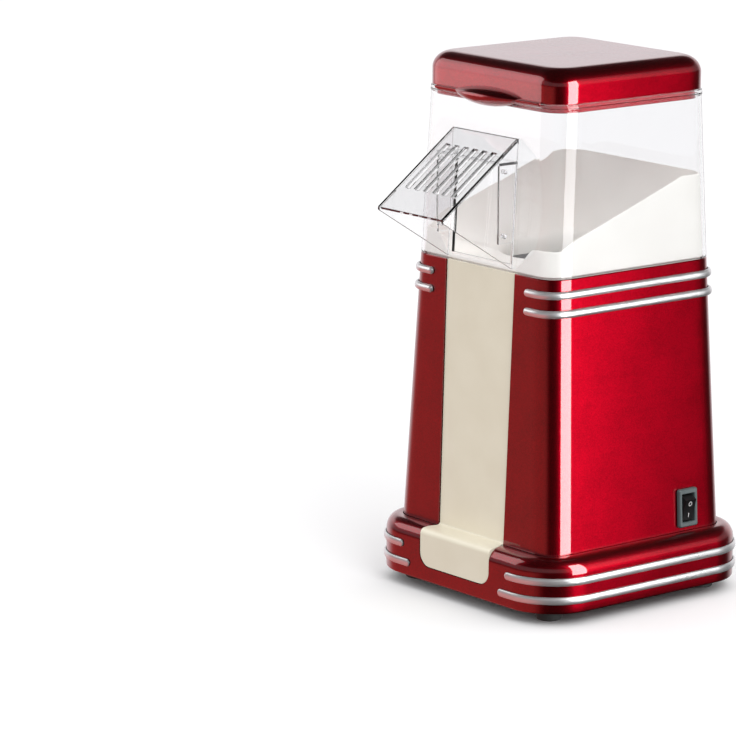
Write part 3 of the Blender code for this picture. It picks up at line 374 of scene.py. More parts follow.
# Moulded plastic: two close colours in patches, dust on top, and gloss that patches and smudges dull.
def plasticMaterial(name):
    first, second, glossLow, glossHigh, scale, bump, settled = plastics[name]
    made, tree = newMaterial(name)
    grain = placeGroup(tree, "grain", scale=scale, patchScale=45.0)
    smudge = placeGroup(tree, "smudge", scale=30.0, sharpness=2.5)["mask"]
    colour = blended(tree, ranged(tree, grain["patch"], 0.0, 1.0), first, second)
    colour = blended(tree, placeGroup(tree, "dust", amount=settled)["mask"], colour, (0.62, 0.59, 0.54))
    gloss = combined(tree, "ADD", ranged(tree, grain["patch"], glossLow, glossHigh),
                     ranged(tree, smudge, 0.0, 0.08, 0.0, 0.3))
    return finished(made, colour, gloss, grain["height"], strength=bump, distance=0.00005)


metals = {
    # name: first colour, second colour, gloss low, gloss high, stretch, bump, metallic
    "brightTrim": ((0.74, 0.74, 0.75), (0.84, 0.84, 0.84), 0.24, 0.34, (180.0, 180.0, 2600.0), 0.04, 0.80),
    "spunAluminium": ((0.62, 0.62, 0.63), (0.78, 0.78, 0.79), 0.24, 0.40, (120.0, 120.0, 3200.0), 0.10, 1.0),
    "zincSteel": ((0.46, 0.47, 0.49), (0.62, 0.62, 0.60), 0.26, 0.42, (700.0, 700.0, 900.0), 0.12, 1.0),
    "heatWireMetal": ((0.20, 0.17, 0.15), (0.42, 0.38, 0.33), 0.40, 0.60, (900.0, 900.0, 900.0), 0.20, 1.0),
    "brassTag": ((0.62, 0.44, 0.17), (0.76, 0.58, 0.26), 0.28, 0.44, (500.0, 500.0, 1500.0), 0.12, 1.0),
}


# Metal: brushed lines carry its two colours, its gloss and its bump; smudges dull it a little more.
def metalMaterial(name):
    first, second, glossLow, glossHigh, stretch, bump, metallic = metals[name]
    made, tree = newMaterial(name, {"Metallic": metallic})
    lines = placeGroup(tree, "brushed", stretch=stretch)["mask"]
    smudge = placeGroup(tree, "smudge", scale=34.0, sharpness=2.0)["mask"]
    gloss = combined(tree, "ADD", ranged(tree, lines, glossLow, glossHigh),
                     ranged(tree, smudge, 0.0, 0.10, 0.0, 0.35))
    return finished(made, blended(tree, ranged(tree, lines, 0.0, 1.0), first, second), gloss, lines,
                    strength=bump, distance=0.00004)


clear = {"tint": (0.966, 0.964, 0.970), "smudged": (0.955, 0.957, 0.965), "ior": 1.47, "gloss": (0.0, 0.035),
         "shade": (0.97, 0.97, 0.975, 1.0)}


# Clear moulded plastic; lamps shine through it, so that it throws only a faint shadow.
def clearMaterial():
    made, tree = newMaterial("clearPlastic", {"Transmission Weight": 1.0, "IOR": clear["ior"]})
    smudge = placeGroup(tree, "smudge", scale=18.0, sharpness=3.0)["mask"]
    grain = placeGroup(tree, "grain", scale=260.0, patchScale=20.0)
    finished(made, blended(tree, smudge, clear["tint"], clear["smudged"]),
             ranged(tree, smudge, *clear["gloss"], 0.02, 0.40), grain["patch"],
             strength=0.03, distance=0.00004)
    path = addNode(tree, "LightPath").outputs
    lamps = combined(tree, "MAXIMUM", path["Is Shadow Ray"], path["Is Diffuse Ray"])
    thin = addNode(tree, "BsdfTransparent", {"Color": clear["shade"]})
    mixed = addNode(tree, "MixShader", {0: lamps, 1: tree.nodes["Principled BSDF"].outputs[0],
                                        2: thin.outputs[0]})
    tree.links.new(mixed.outputs[0], tree.nodes["Material Output"].inputs["Surface"])
    return made


# Mica: flaky layers, a cell pattern laid over a cloudy tan and grey.
def micaMaterial():
    made, tree = newMaterial("micaBoard")
    grain = placeGroup(tree, "grain", scale=700.0, patchScale=160.0)
    flake = placeGroup(tree, "flake", scale=420.0, spread=0.7)
    colour = blended(tree, ranged(tree, grain["patch"], 0.0, 1.0), (0.42, 0.37, 0.27), (0.60, 0.56, 0.45))
    colour = blended(tree, ranged(tree, flake["mask"], 0.0, 0.5), colour, (0.70, 0.67, 0.58))
    return finished(made, colour, ranged(tree, flake["mask"], 0.35, 0.65), flake["height"],
                    strength=0.30, distance=0.00008)


# Circuit board: copper lanes show through green lacquer as a lighter square-edged pattern.
def boardMaterial():
    made, tree = newMaterial("circuitBoard")
    lanes = addNode(tree, "TexBrick", {
        "Vector": addNode(tree, "TexCoord").outputs["Object"], "Scale": 260.0, "Mortar Size": 0.03,
        "Color1": (0.020, 0.16, 0.055, 1.0), "Color2": (0.035, 0.23, 0.085, 1.0),
        "Mortar": (0.010, 0.09, 0.035, 1.0)})
    grain = placeGroup(tree, "grain", scale=900.0, patchScale=80.0)
    dust = placeGroup(tree, "dust", amount=0.2)["mask"]
    return finished(made, blended(tree, dust, lanes.outputs["Color"], (0.5, 0.5, 0.46)),
                    ranged(tree, grain["patch"], 0.30, 0.48), grain["height"],
                    strength=0.15, distance=0.00004)


materials = {"candyRedPaint": candyPaint(), "clearPlastic": clearMaterial(), "micaBoard": micaMaterial(),
             "circuitBoard": boardMaterial()}
materials.update({name: plasticMaterial(name) for name in plastics})
materials.update({name: metalMaterial(name) for name in metals})

# The record's material slots, each with the material that its pieces get here.
slotFinish = {
    "red_paint": "candyRedPaint", "cream_plastic": "ivoryPlastic", "bright_strip": "brightTrim",
    "clear_plastic": "clearPlastic", "black_rubber": "blackRubber", "black_plastic": "blackPlastic",
    "grey_plastic": "bezelPlastic", "chamber_aluminium": "spunAluminium", "plated_steel": "zincSteel",
    "mica_board": "micaBoard", "heat_wire": "heatWireMetal", "brass_terminal": "brassTag",
    "circuit_board": "circuitBoard", "brown_wire": "brownLead", "blue_wire": "blueLead",
    "white_wire": "whiteLead",
}

# The slot of each finish; two more finishes share a slot.
finishSlot = {finish: slot for slot, finish in slotFinish.items()}
finishSlot.update(slidePlastic="cream_plastic", markPlastic="white_wire")


# Every node of the frame gets the material of its slot.
def finishNodes():
    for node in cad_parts.values():
        for number, old in enumerate(node.data.materials):
            node.data.materials[number] = materials[slotFinish[old.name]]


finishNodes()
print("materials: %d" % len(materials))


# A finished piece: points (rows, columns, 3) joined cell by cell, equal points merged so that seams
# and poles close, shaded smooth except over sharp edges, then a wall and rounded edges. Clear pieces
# keep flat faces flat by the rounded edges' own normals, the others by normals weighted by area.
def makePiece(name, points, finish, body, stands=(), faces=None, wall=0.0, edge=0.0, sharp=35.0):
    faces = gridFaces(*points.shape[:2]) if faces is None else faces
    mesh = bpy.data.meshes.new(name)
    mesh.from_pydata(points.reshape(-1, 3).tolist(), [], faces.tolist())
    work = bmesh.new()
    work.from_mesh(mesh)
    bmesh.ops.remove_doubles(work, verts=work.verts, dist=0.000002)
    bmesh.ops.delete(work, geom=[v for v in work.verts if not v.link_faces], context="VERTS")
    if not wall:
        bmesh.ops.recalc_face_normals(work, faces=work.faces)
    work.to_mesh(mesh)
    work.free()
    mesh.materials.append(materials[finish])
    mesh.shade_smooth()
    mesh.set_sharp_from_angle(angle=math.radians(sharp))
    made = intoScene(name, mesh)
    if wall:
        step = made.modifiers.new("wall", "SOLIDIFY")
        step.thickness, step.offset, step.use_even_offset = wall, -1.0, True
    if edge:
        step = made.modifiers.new("edge", "BEVEL")
        step.width, step.segments, step.limit_method, step.angle_limit = edge, 2, "ANGLE", math.radians(40.0)
        step.harden_normals = finish == "clearPlastic"
    if finish != "clearPlastic":
        step = made.modifiers.new("normals", "WEIGHTED_NORMAL")
        step.keep_sharp, step.weight = True, 60
    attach(made, body)
    if stands:
        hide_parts(*stands)


# Faces of a grid of points: the cell at (row, column) has the corners of its two rows and columns.
# The cells in each hole, a pair of row and column ranges, are left out.
def gridFaces(rows, columns, loop=True, holes=()):
    row, column = np.meshgrid(np.arange(rows - 1), np.arange(columns if loop else columns - 1), indexing="ij")
    beside = (column + 1) % columns
    faces = np.stack([row * columns + column, row * columns + beside, (row + 1) * columns + beside,
                      (row + 1) * columns + column], axis=-1)
    keep = np.ones(row.shape, bool)
    for hole in holes:
        keep[hole] = False
    return faces[keep]


corners = {"blend": 2.6, "round": 2.0, "steps": 28}


# How far a blended corner reaches along each side, so that it cuts off as much of the diagonal as a
# circle of the corner's radius: corner times (1 - root of a half) / (1 - a half to the power 1 / blend).
def cornerExtent(corner, blend):
    return np.asarray(corner, float) * (1 - 2 ** -0.5) / (1 - 2 ** (-1 / blend))


# The quarter of a blended corner, from (0, 1) to (1, 0), at each angle of its normal: (sin, cos) to
# the power 1 / (blend - 1), scaled so that their powers blend sum to 1.
def cornerCurve(angle, blend):
    x, y = np.maximum(np.sin(angle), 0.0), np.maximum(np.cos(angle), 0.0)
    x, y = x ** (1 / (blend - 1)), y ** (1 / (blend - 1))
    size = (x ** blend + y ** blend) ** (1 / blend)
    return x / size, y / size


# Outline of a rounded box, one row per height, anticlockwise seen from above. On a straight side the
# place runs evenly between the breaks; in a corner the point is the corner's centre plus its extent
# times the corner curve. The gaps are the columns of each side's second stretch.
def boxOutline(halfX, halfY, corner, sides=None, cornerSteps=corners["steps"], plainSteps=10,
               blend=corners["blend"]):
    halfX, halfY, extent = np.broadcast_arrays(*(np.atleast_1d(np.asarray(v, float))
                                                 for v in (halfX, halfY, cornerExtent(corner, blend))))
    bendX, bendY = cornerCurve(np.radians(90.0 * np.arange(cornerSteps) / cornerSteps), blend)
    xs, ys, gaps, count = [], [], {}, 0
    for number, side in enumerate(("front", "right", "back", "left")):
        along = (halfY if number % 2 else halfX) - extent
        away = halfX if number % 2 else halfY
        breaks, steps = (sides or {}).get(side, ([], [plainSteps]))
        stops = [-along, *(np.broadcast_to(b, along.shape) for b in breaks), along]
        places = []
        for span, amount in enumerate(steps):
            share = np.arange(amount) / amount
            places.append(stops[span][:, None] * (1 - share) + stops[span + 1][:, None] * share)
        places = np.concatenate(places, axis=1)
        gaps[side] = slice(count + steps[0], count + sum(steps[:2]))
        count += sum(steps) + cornerSteps
        out = np.repeat(away[:, None], places.shape[1], axis=1)
        turn = math.radians(90.0 * number)
        x = np.concatenate([places, along[:, None] + extent[:, None] * bendX], axis=1)
        y = np.concatenate([-out, (extent - away)[:, None] - extent[:, None] * bendY], axis=1)
        xs.append(x * math.cos(turn) - y * math.sin(turn))
        ys.append(x * math.sin(turn) + y * math.cos(turn))
    return np.concatenate(xs, axis=1), np.concatenate(ys, axis=1), gaps


# Rows of an outline with their heights become points about the machine's axis.
def onAxis(x, y, z):
    z = np.broadcast_to(np.asarray(z, float).reshape(len(x), -1), x.shape)
    return np.stack([x, y + axisY, z], axis=-1)


# The value at a share of the way from low to high.
def between(low, high, share):
    return low + (high - low) * share


# A number of steps from 0 to a quarter turn.
def quarter(steps):
    return np.linspace(0.0, np.pi / 2, steps + 1)


tower = {
    "bottom": 0.0330, "top": 0.1893, "seam": 0.0355, "foot": (0.06705, 0.06630), "head": (0.05905, 0.06145),
    "corner": 0.0130, "eased": 0.0004, "levels": (0.090, 0.120, 0.150, 0.1700, 0.1888),
    "panelTop": 0.0292, "panelSeam": 0.0280, "wall": 0.0022, "edge": 0.0003,
    "switchY": (0.0291, 0.0417), "switchZ": (0.0411, 0.0604), "glandHalf": 0.0052, "glandZ": 0.0500,
}


# How far up the taper a height is, 0 at the plinth's seam and 1 at the top.
def towerShare(z):
    return (np.asarray(z) - tower["seam"]) / (tower["top"] - tower["seam"])


# Half width and half depth of the tapered tower at a height.
def towerHalf(z):
    return tuple(between(tower["foot"][k], tower["head"][k], towerShare(z)) for k in (0, 1))


# The tower: a straight taper round three sides, open at the front where the panel goes, at the switch
# and at the cord's gland. Its top row is eased inwards.
def makeTower():
    gland = tower["glandHalf"]
    rows = np.array([tower["bottom"], tower["switchZ"][0], tower["glandZ"] - gland, tower["glandZ"] + gland,
                     tower["switchZ"][1], *tower["levels"], tower["top"]])
    halfX, halfY = towerHalf(rows)
    eased = np.zeros(len(rows))
    eased[-1] = tower["eased"]
    panelHalf = between(tower["panelSeam"], tower["panelTop"], towerShare(rows))
    x, y, gaps = boxOutline(halfX - eased, halfY - eased, tower["corner"] - eased, {
        "front": ([-panelHalf, panelHalf], [3, 6, 3]), "right": (list(tower["switchY"]), [6, 2, 2]),
        "back": ([-gland, gland], [4, 2, 4])})
    holes = np.s_[:, gaps["front"]], np.s_[1:4, gaps["right"]], np.s_[2:3, gaps["back"]]
    makePiece("towerShell", onAxis(x, y, rows), "candyRedPaint", "housing", ["tower_shell"],
              gridFaces(*x.shape, holes=holes), wall=tower["wall"], edge=tower["edge"])


plinth = {
    "bottom": 0.0072, "shoulder": 0.0290, "top": 0.0375, "half": 0.0783, "ledge": 0.0700,
    "corner": 0.0295, "wall": 0.0022, "edge": 0.0002, "apronHalf": 0.0299, "apronLow": 0.0155,
    "apronCorner": 0.0083, "lowRow": 0.0115, "highRow": 0.0262, "mouthGap": 0.0005, "mouthDrop": 0.0020,
    "eased": ((0.0008, 0.0), (0.0003, 0.0004), (0.0, 0.0010)),       # inset and rise of the lower edge
}


# The plinth's corner radius shrinks evenly from its wall in to the tower's opening.
def plinthCorner(half):
    share = np.clip((plinth["half"] - half) / (plinth["half"] - tower["foot"][0]), 0.0, 1.0)
    return between(plinth["corner"], tower["corner"] + 0.0003, share)


# The plinth: an upright wall, a quarter round shoulder and a level ledge, open for the apron. The
# apron's lower corners are quarter circles: half width less corner, plus root (corner^2 - drop^2).
def makePlinth():
    top, apronCorner = plinth["top"], plinth["apronCorner"]
    opening = plinth["apronLow"] + apronCorner * (1 - np.cos(quarter(8)))
    inset, lift = np.array(plinth["eased"]).T
    rise = np.concatenate([plinth["bottom"] + lift, [plinth["lowRow"]], opening, [plinth["highRow"]]])
    wall = np.full(len(rise), plinth["half"])
    wall[:3] -= inset
    turn = quarter(12)
    shoulder = between(plinth["ledge"], plinth["half"], np.cos(turn))
    mouth = tower["foot"][0] + plinth["mouthGap"]
    half = np.concatenate([wall, shoulder, [between(plinth["ledge"], mouth, 0.7), mouth, mouth]])
    z = np.concatenate([rise, between(plinth["shoulder"], top, np.sin(turn)),
                        [top, top - 0.0002, top - plinth["mouthDrop"]]])
    halfY = half.copy()
    halfY[-2:] = tower["foot"][1] + plinth["mouthGap"]
    drop = apronCorner - np.clip(z - plinth["apronLow"], 0.0, apronCorner)
    side = plinth["apronHalf"] - apronCorner + np.sqrt(np.maximum(apronCorner ** 2 - drop ** 2, 0.0))
    x, y, gaps = boxOutline(half, halfY, plinthCorner(half), {"front": ([-side, side], [4, 8, 4])},
                            blend=corners["round"])
    makePiece("plinthShell", onAxis(x, y, z), "candyRedPaint", "housing", ["plinth"],
              gridFaces(*x.shape, holes=[np.s_[4:, gaps["front"]]]), wall=plinth["wall"],
              edge=plinth["edge"])


panel = {"topHalf": 0.0289, "seamHalf": 0.0277, "recess": 0.0010, "apronHalf": 0.0296, "apronLow": 0.0158,
         "apronCorner": 0.0080, "apronProud": 0.0003, "bendDeep": 0.0030, "bendTall": 0.0034, "thick": 0.0020,
         "edge": 0.0004}


# The front panel: a strip of given half widths carried down the tower, over the ledge, round a
# quarter bend and down the apron, whose lower corners are quarter circles.
def makePanel():
    high, low = (-(towerHalf(z)[1] - panel["recess"]) for z in (tower["top"], plinth["top"]))
    apron = -(plinth["half"] - panel["apronProud"])
    deep, ledge, half = panel["bendDeep"], plinth["top"], panel["apronHalf"]
    upper = np.linspace(0.0, 1.0, 9)
    angle = quarter(8)
    depth = [between(high, low, upper), [low - 0.0006, low - 0.0020, apron + 2 * deep, apron + deep],
             apron + deep * (1 - np.sin(angle[1:])), np.full(9, apron)]
    height = [between(tower["top"] - 0.0004, ledge + 0.0016, upper),
              [ledge + 0.0005, ledge + 0.0001, ledge - 0.0001, ledge - 0.0004],
              ledge - 0.0004 - panel["bendTall"] * (1 - np.cos(angle[1:])),
              panel["apronLow"] + panel["apronCorner"] * (1 - np.sin(angle))]
    width = [between(panel["topHalf"], panel["seamHalf"], upper), [panel["seamHalf"], panel["seamHalf"]],
             np.full(10, half), half - panel["apronCorner"] * (1 - np.cos(angle))]
    depth, height, width = (np.concatenate(part) for part in (depth, height, width))
    across = np.linspace(-1.0, 1.0, 15)
    x = width[:, None] * across
    y = np.repeat(depth[:, None], len(across), axis=1)
    makePiece("frontPanel", onAxis(x, y, height)[::-1], "ivoryPlastic", "housing", ["front_panel"],
              gridFaces(*x.shape, loop=False), wall=panel["thick"], edge=panel["edge"])


hood = {
    "bottom": 0.1896, "top": 0.2841, "head": (0.05680, 0.05665), "corner": 0.0130, "wall": 0.0020,
    "edge": 0.0004, "rimLow": 0.2810, "rimStands": 0.0004, "levels": (0.2120, 0.2300), "highRow": 0.2650,
    "exitHalf": 0.0243, "exitLow": 0.1940, "exitHigh": 0.2490,
    "collarHalf": 0.0258, "collarFront": -0.0710, "collarLow": 0.2060, "collarHigh": 0.2506,
    "collarWall": 0.0015, "collarEdge": 0.0003,
}


# Half width and half depth of the hood, which goes on from the tower's head to the lid's outline.
def hoodHalf(z):
    share = (np.asarray(z) - tower["top"]) / (hood["top"] - tower["top"])
    return tuple(between(tower["head"][k], hood["head"][k], share) for k in (0, 1))


# The hood: a clear four-sided tube with a slightly proud rim, and the exit left open at the front.
def makeHood():
    rows = np.array([hood["bottom"], hood["exitLow"], *hood["levels"], hood["exitHigh"], hood["highRow"],
                     hood["rimLow"] - 0.0004, hood["rimLow"], hood["top"] - 0.0003])
    proud = np.where(rows >= hood["rimLow"], hood["rimStands"], 0.0)
    halfX, halfY = hoodHalf(rows)
    x, y, gaps = boxOutline(halfX + proud, halfY + proud, hood["corner"] + proud, {
        "front": ([-hood["exitHalf"], hood["exitHalf"]], [2, 6, 2])})
    makePiece("clearHood", onAxis(x, y, rows), "clearPlastic", "hood", ["hood"],
              gridFaces(*x.shape, holes=[np.s_[1:4, gaps["front"]]]), wall=hood["wall"], edge=hood["edge"])


# The collar: an upside-down U round the exit, drawn forwards from the hood's sloping front.
def makeCollar():
    half, wall = hood["collarHalf"], hood["collarWall"]
    low, high = hood["collarLow"], hood["collarHigh"]
    section = np.array([(half, low), (half, high), (-half, high), (-half, low), (wall - half, low),
                        (wall - half, high - wall), (half - wall, high - wall), (half - wall, low)])
    back = -hoodHalf(section[:, 1])[1] - 0.0001
    front = np.full(len(section), hood["collarFront"])
    rings = [np.stack([section[:, 0], at + axisY, section[:, 1]], axis=-1) for at in (back, front)]
    faces = [(i, (i + 1) % 8, 8 + (i + 1) % 8, 8 + i) for i in range(8)]
    ends = [(0, 1, 6, 7), (1, 2, 5, 6), (2, 3, 4, 5)]
    faces += ends + [tuple(8 + i for i in reversed(end)) for end in ends]
    makePiece("exitCollar", np.array(rings), "clearPlastic", "hood", faces=np.array(faces),
              edge=hood["collarEdge"])


chute = {
    "backTop": (-0.0583, 0.2632), "lipTop": (-0.1115, 0.2240), "lipLow": (-0.1115, 0.2222),
    "backLow": (-0.0618, 0.1915), "half": 0.0278, "cheek": 0.0016, "plate": 0.0018, "slots": 6,
    "pitch": 0.0078, "slotWidth": 0.0036, "slotStart": 0.0130, "slotLength": 0.0360, "edge": 0.0003,
}


# The slotted plate: a grid laid on the slope, with the slots' cells left out.
def makeChutePlate():
    start, lip = np.array(chute["backTop"]), np.array(chute["lipTop"])
    length = np.linalg.norm(lip - start)
    slotPlaces = (np.arange(chute["slots"]) - (chute["slots"] - 1) / 2) * chute["pitch"]
    halfSlot = chute["slotWidth"] / 2
    edges = np.sort(np.concatenate([slotPlaces - halfSlot, slotPlaces + halfSlot]))
    inside = chute["half"] - chute["cheek"] - 0.00005
    across = np.concatenate([[-inside], edges, [inside]])
    down = np.array([0.0, chute["slotStart"], chute["slotStart"] + chute["slotLength"], length])
    path = start + (lip - start) * (down / length)[:, None]
    x = np.repeat(across[None, :], len(down), axis=0)
    y = np.repeat(path[:, :1], len(across), axis=1)
    makePiece("chutePlate", onAxis(x, y, path[:, 1]), "clearPlastic", "hood", ["chute"],
              gridFaces(*x.shape, loop=False, holes=[np.s_[1, 1::2]])[:, ::-1], wall=chute["plate"],
              edge=chute["edge"])


# A cheek: the four-cornered outline seen from the side, filled from its middle on both faces.
def makeCheeks():
    outline = np.array([chute[key] for key in ("backLow", "lipLow", "lipTop", "backTop")])
    middle = outline.mean(axis=0)
    steps = np.linspace(0.0, 1.0, 9)[:-1, None]
    ring = np.concatenate([outline[k] + (outline[(k + 1) % 4] - outline[k]) * steps for k in range(4)])
    for side, name in ((-1.0, "cheekLeft"), (1.0, "cheekRight")):
        outer, inner = side * chute["half"], side * (chute["half"] - chute["cheek"])
        rings = []
        for x, size in ((outer, 0.0), (outer, 1.0), (inner, 1.0), (inner, 0.0)):
            flat = middle + (ring - middle) * size
            rings.append(np.stack([np.full(len(flat), x), flat[:, 0] + axisY, flat[:, 1]], axis=-1))
        makePiece(name, np.array(rings), "clearPlastic", "hood", edge=chute["edge"])


lid = {
    "bottom": 0.2841, "top": 0.3030, "half": (0.05680, 0.05665), "corner": 0.0137, "edge": 0.0097,
    "tongueOut": 0.0028, "tongueIn": 0.0042, "tongueLow": 0.2791,
}

grips = {
    # name: half width, reach, height above and below the lid's edge, power of its outline
    "lidGrip": (0.0270, 0.0085, 0.0042, 0.0062, 0.8),
    "lidLip": (0.0440, 0.0016, 0.0006, 0.0024, 0.12),
}


# The lid: rings from the middle of its ceiling out over the tongue, up the wall and round a quarter
# bend, with inset edge times (1 - cos), to the middle of its top.
def makeLid():
    top, bottom, edge = lid["top"], lid["bottom"], lid["edge"]
    inner, outer, tip = lid["tongueIn"], lid["tongueOut"], lid["tongueLow"]
    arc = quarter(14)[1:]
    rings = [(inner + 0.0060, top - 0.0026), (inner + 0.0015, top - 0.0042), (inner, top - 0.0080),
             (inner, tip + 0.0004), (inner + 0.0003, tip), (outer - 0.0003, tip), (outer, tip + 0.0004),
             (outer, bottom), (0.0006, bottom), (0.0001, bottom + 0.0002), (0.0, bottom + 0.0008),
             (0.0, top - edge)]
    inset, z = np.array(rings + list(zip(edge * (1 - np.cos(arc)), top - edge * (1 - np.sin(arc))))).T
    middle = np.array([0.0, 0.35, 0.75])
    scale = np.concatenate([middle, np.ones(len(inset)), middle[::-1]])
    inset, z = np.pad(inset, 3, "edge"), np.pad(z, 3, "edge")
    halfX, halfY = ((lid["half"][k] - inset) * scale for k in (0, 1))
    x, y, _ = boxOutline(halfX, halfY, (lid["corner"] - inset * 0.6) * scale)
    makePiece("lidShell", onAxis(x, y, z), "candyRedPaint", "lid", ["lid"], sharp=50.0)


# The grip and the lip below it: at each place across, a ring that is full towards the front and flat
# against the lid; its size is (1 - (x / half) squared) to a power.
def makeGrips():
    front = lid["half"][1]
    for name, (half, forward, high, low, power) in grips.items():
        across = np.sin(np.linspace(-np.pi / 2, np.pi / 2, 41))
        size = np.maximum(1 - across ** 2, 0.0) ** power
        angle = np.linspace(0.0, 2 * np.pi, 33)[:-1]
        z = lid["bottom"] + size[:, None] * np.where(np.sin(angle) > 0, high, low) * np.sin(angle)
        reach = np.where(np.cos(angle) > 0, np.abs(np.cos(angle)) ** 1.3 * forward, 0.0)
        back = np.where(z > lid["bottom"] + 0.0004, front - 0.0010, front + 0.0010)
        y = -(np.where(np.cos(angle) > 0.001, front + 0.0010, back) + size[:, None] * reach)
        x = np.repeat((across * half)[:, None], len(angle), axis=1)
        makePiece(name, onAxis(x, y, z), "candyRedPaint", "lid", sharp=60.0)


slide = {
    "gap": 0.0025, "skin": 0.0018, "foot": 0.1838, "side": 0.2097, "climb": 0.337, "turnY": -0.0420,
    "top": 0.2368, "frontLow": 0.1925, "frontCorner": 0.2040, "dipStart": 0.0280, "dipWidth": 0.0140,
    "throat": (0.0375, 0.1918, 0.0070), "sag": 0.0010,
    # the mouth's rings below the throat: radius, height, rise towards the back
    "mouth": ((0.0360, 0.1908, 0.0066), (0.0346, 0.1894, 0.0052), (0.0341, 0.1870, 0.0020),
              (0.0340, 0.1840, 0.0), (0.0354, 0.1840, 0.0), (0.0358, 0.1884, 0.0050)),
}


# The slide's upper edge climbs evenly to a level back and dips smoothly at the exit.
def slideEdge(x, y):
    side = slide["side"] + slide["climb"] * (np.maximum(y, slide["turnY"]) - slide["turnY"])
    side = np.minimum(side, slide["top"])
    corner = between(side, slide["frontCorner"], np.clip((slide["turnY"] - y) / 0.010, 0.0, 1.0))
    share = np.clip((np.abs(x) - slide["dipStart"]) / slide["dipWidth"], 0.0, 1.0)
    front = between(slide["frontLow"], corner, share * share * (3 - 2 * share))
    return np.where(y > slide["turnY"], side, front)


# The slide: a skirt up inside the hood, then a funnel down to the round mouth over the chamber. The
# funnel runs evenly from rim to throat, less sag times sin (pi times share).
def makeSlide():
    gap, skin, foot, bottom = slide["gap"], slide["skin"], slide["foot"], hood["bottom"]
    lowX, lowY = (half - gap for half in hoodHalf(bottom))

    # The skirt's outline at the hood's foot, moved inwards by an inset.
    def outline(inset):
        x, y, _ = boxOutline(lowX - inset, lowY - inset, hood["corner"] - gap - inset, cornerSteps=16,
                             plainSteps=24)
        return x[0], y[0]

    # The same outline as a level ring.
    def level(inset, height):
        x, y = outline(inset)
        return np.stack([x, y, np.full(len(x), height)], axis=-1)

    # The same outline lifted to the upper edge less a sink, and drawn in with the hood's taper.
    def lifted(inset, sink):
        x, y = outline(inset)
        z = slideEdge(x, y)
        halfX, halfY = hoodHalf(z)
        x = x * (halfX - gap - inset) / (lowX - inset)
        y = y * (halfY - gap - inset) / (lowY - inset)
        return np.stack([x, y, np.maximum(z - sink, bottom - 0.0010)], axis=-1)

    # A round ring that rises evenly towards the back.
    def mouth(radius, low, rise):
        angle = np.arctan2(*outline(0.0)[::-1])
        z = low + rise * (1 + np.sin(angle)) / 2
        return np.stack([radius * np.cos(angle), radius * np.sin(angle), z], axis=-1)

    base = level(0.0, bottom + 0.0006)
    rim, throat = lifted(skin + 0.0008, 0.0025), mouth(*slide["throat"])
    bend = [between(rim, throat, share) - upright * slide["sag"] * math.sin(math.pi * share)
            for share in (0.2, 0.4, 0.6, 0.8)]
    rings = [level(0.0012, foot), level(0.0012, bottom), base, between(base, lifted(0.0, 0.0), 0.5),
             lifted(0.0, 0.0005), lifted(0.0004, 0.0), lifted(skin - 0.0004, 0.0), lifted(skin, 0.0005), rim,
             *bend, throat, *(mouth(*ring) for ring in slide["mouth"]), lifted(skin + 0.0014, 0.0065),
             level(skin + 0.0014, foot)]
    makePiece("popcornSlide", np.array(rings + rings[:1]) + np.array([0.0, axisY, 0.0]), "slidePlastic",
              "housing", ["popcorn_slide"], sharp=40.0)


trims = {
    # name: node, height, front end, stands, where
    "towerTrimUpper": ("tower_strip_upper", 0.1807, 0.0388, 0.0020, "tower"),
    "towerTrimLower": ("tower_strip_lower", 0.1704, 0.0388, 0.0020, "tower"),
    "plinthTrimUpper": ("plinth_strip_upper", 0.0253, 0.0438, 0.00105, "plinth"),
    "plinthTrimLower": ("plinth_strip_lower", 0.01475, 0.0382, 0.00105, "plinth"),
}
trimShape = {"tall": 0.0043, "gap": 0.0003, "power": 0.75}


# A trim strip: a rounded section, stands times sin to a power by half the height times cos, carried
# round the back from one front end to the other; both ends close in a quarter round.
def makeTrims():
    gap, tall = trimShape["gap"], trimShape["tall"] / 2
    endSteps = np.radians(np.linspace(0.0, 90.0, 8))
    turns = np.radians(np.linspace(0.0, 90.0, 25))
    normal = np.stack([np.sin(turns), np.cos(turns)], axis=-1)
    section = np.radians(np.linspace(0.0, 180.0, 15))
    for name, (node, height, frontX, stands, where) in trims.items():
        if where == "tower":
            halves, corner, blend = towerHalf(height - tall), tower["corner"], corners["blend"]
        else:
            halves, corner, blend = (plinth["half"], plinth["half"]), plinth["corner"], corners["round"]
        halfX, halfY = (float(half) + gap for half in halves)
        extent = cornerExtent(corner + gap, blend)
        path = [np.stack([frontX + tall * (1 - np.cos(endSteps)), np.full(8, -halfY)], axis=-1)]
        out = [np.tile((0.0, -1.0), (8, 1))]
        bend = np.stack(cornerCurve(turns, blend), axis=-1)
        for signX, signY, order in ((1, -1, 1), (1, 1, -1), (-1, 1, 1), (-1, -1, -1)):
            sign = np.array([signX, signY])
            path.append((sign * (np.array([halfX, halfY]) - extent + extent * bend))[::order])
            out.append((sign * normal)[::order])
        path.append(path[0][::-1] * (-1.0, 1.0))
        out.append(out[0])
        size = np.concatenate([np.sin(endSteps), np.ones(100), np.sin(endSteps)[::-1]])[:, None]
        path, out = np.concatenate(path), np.concatenate(out)
        off = np.concatenate([stands * np.sin(section) ** trimShape["power"], [0.0]])
        rise = np.concatenate([-np.cos(section), [-1.0]]) * tall
        x = path[:, :1] + out[:, :1] * off * size
        y = path[:, 1:] + out[:, 1:] * off * size
        points = np.stack([x, y + axisY, height + rise * size], axis=-1)
        makePiece(name, points, "brightTrim", "housing", [node], gridFaces(*x.shape, loop=False), sharp=60.0)


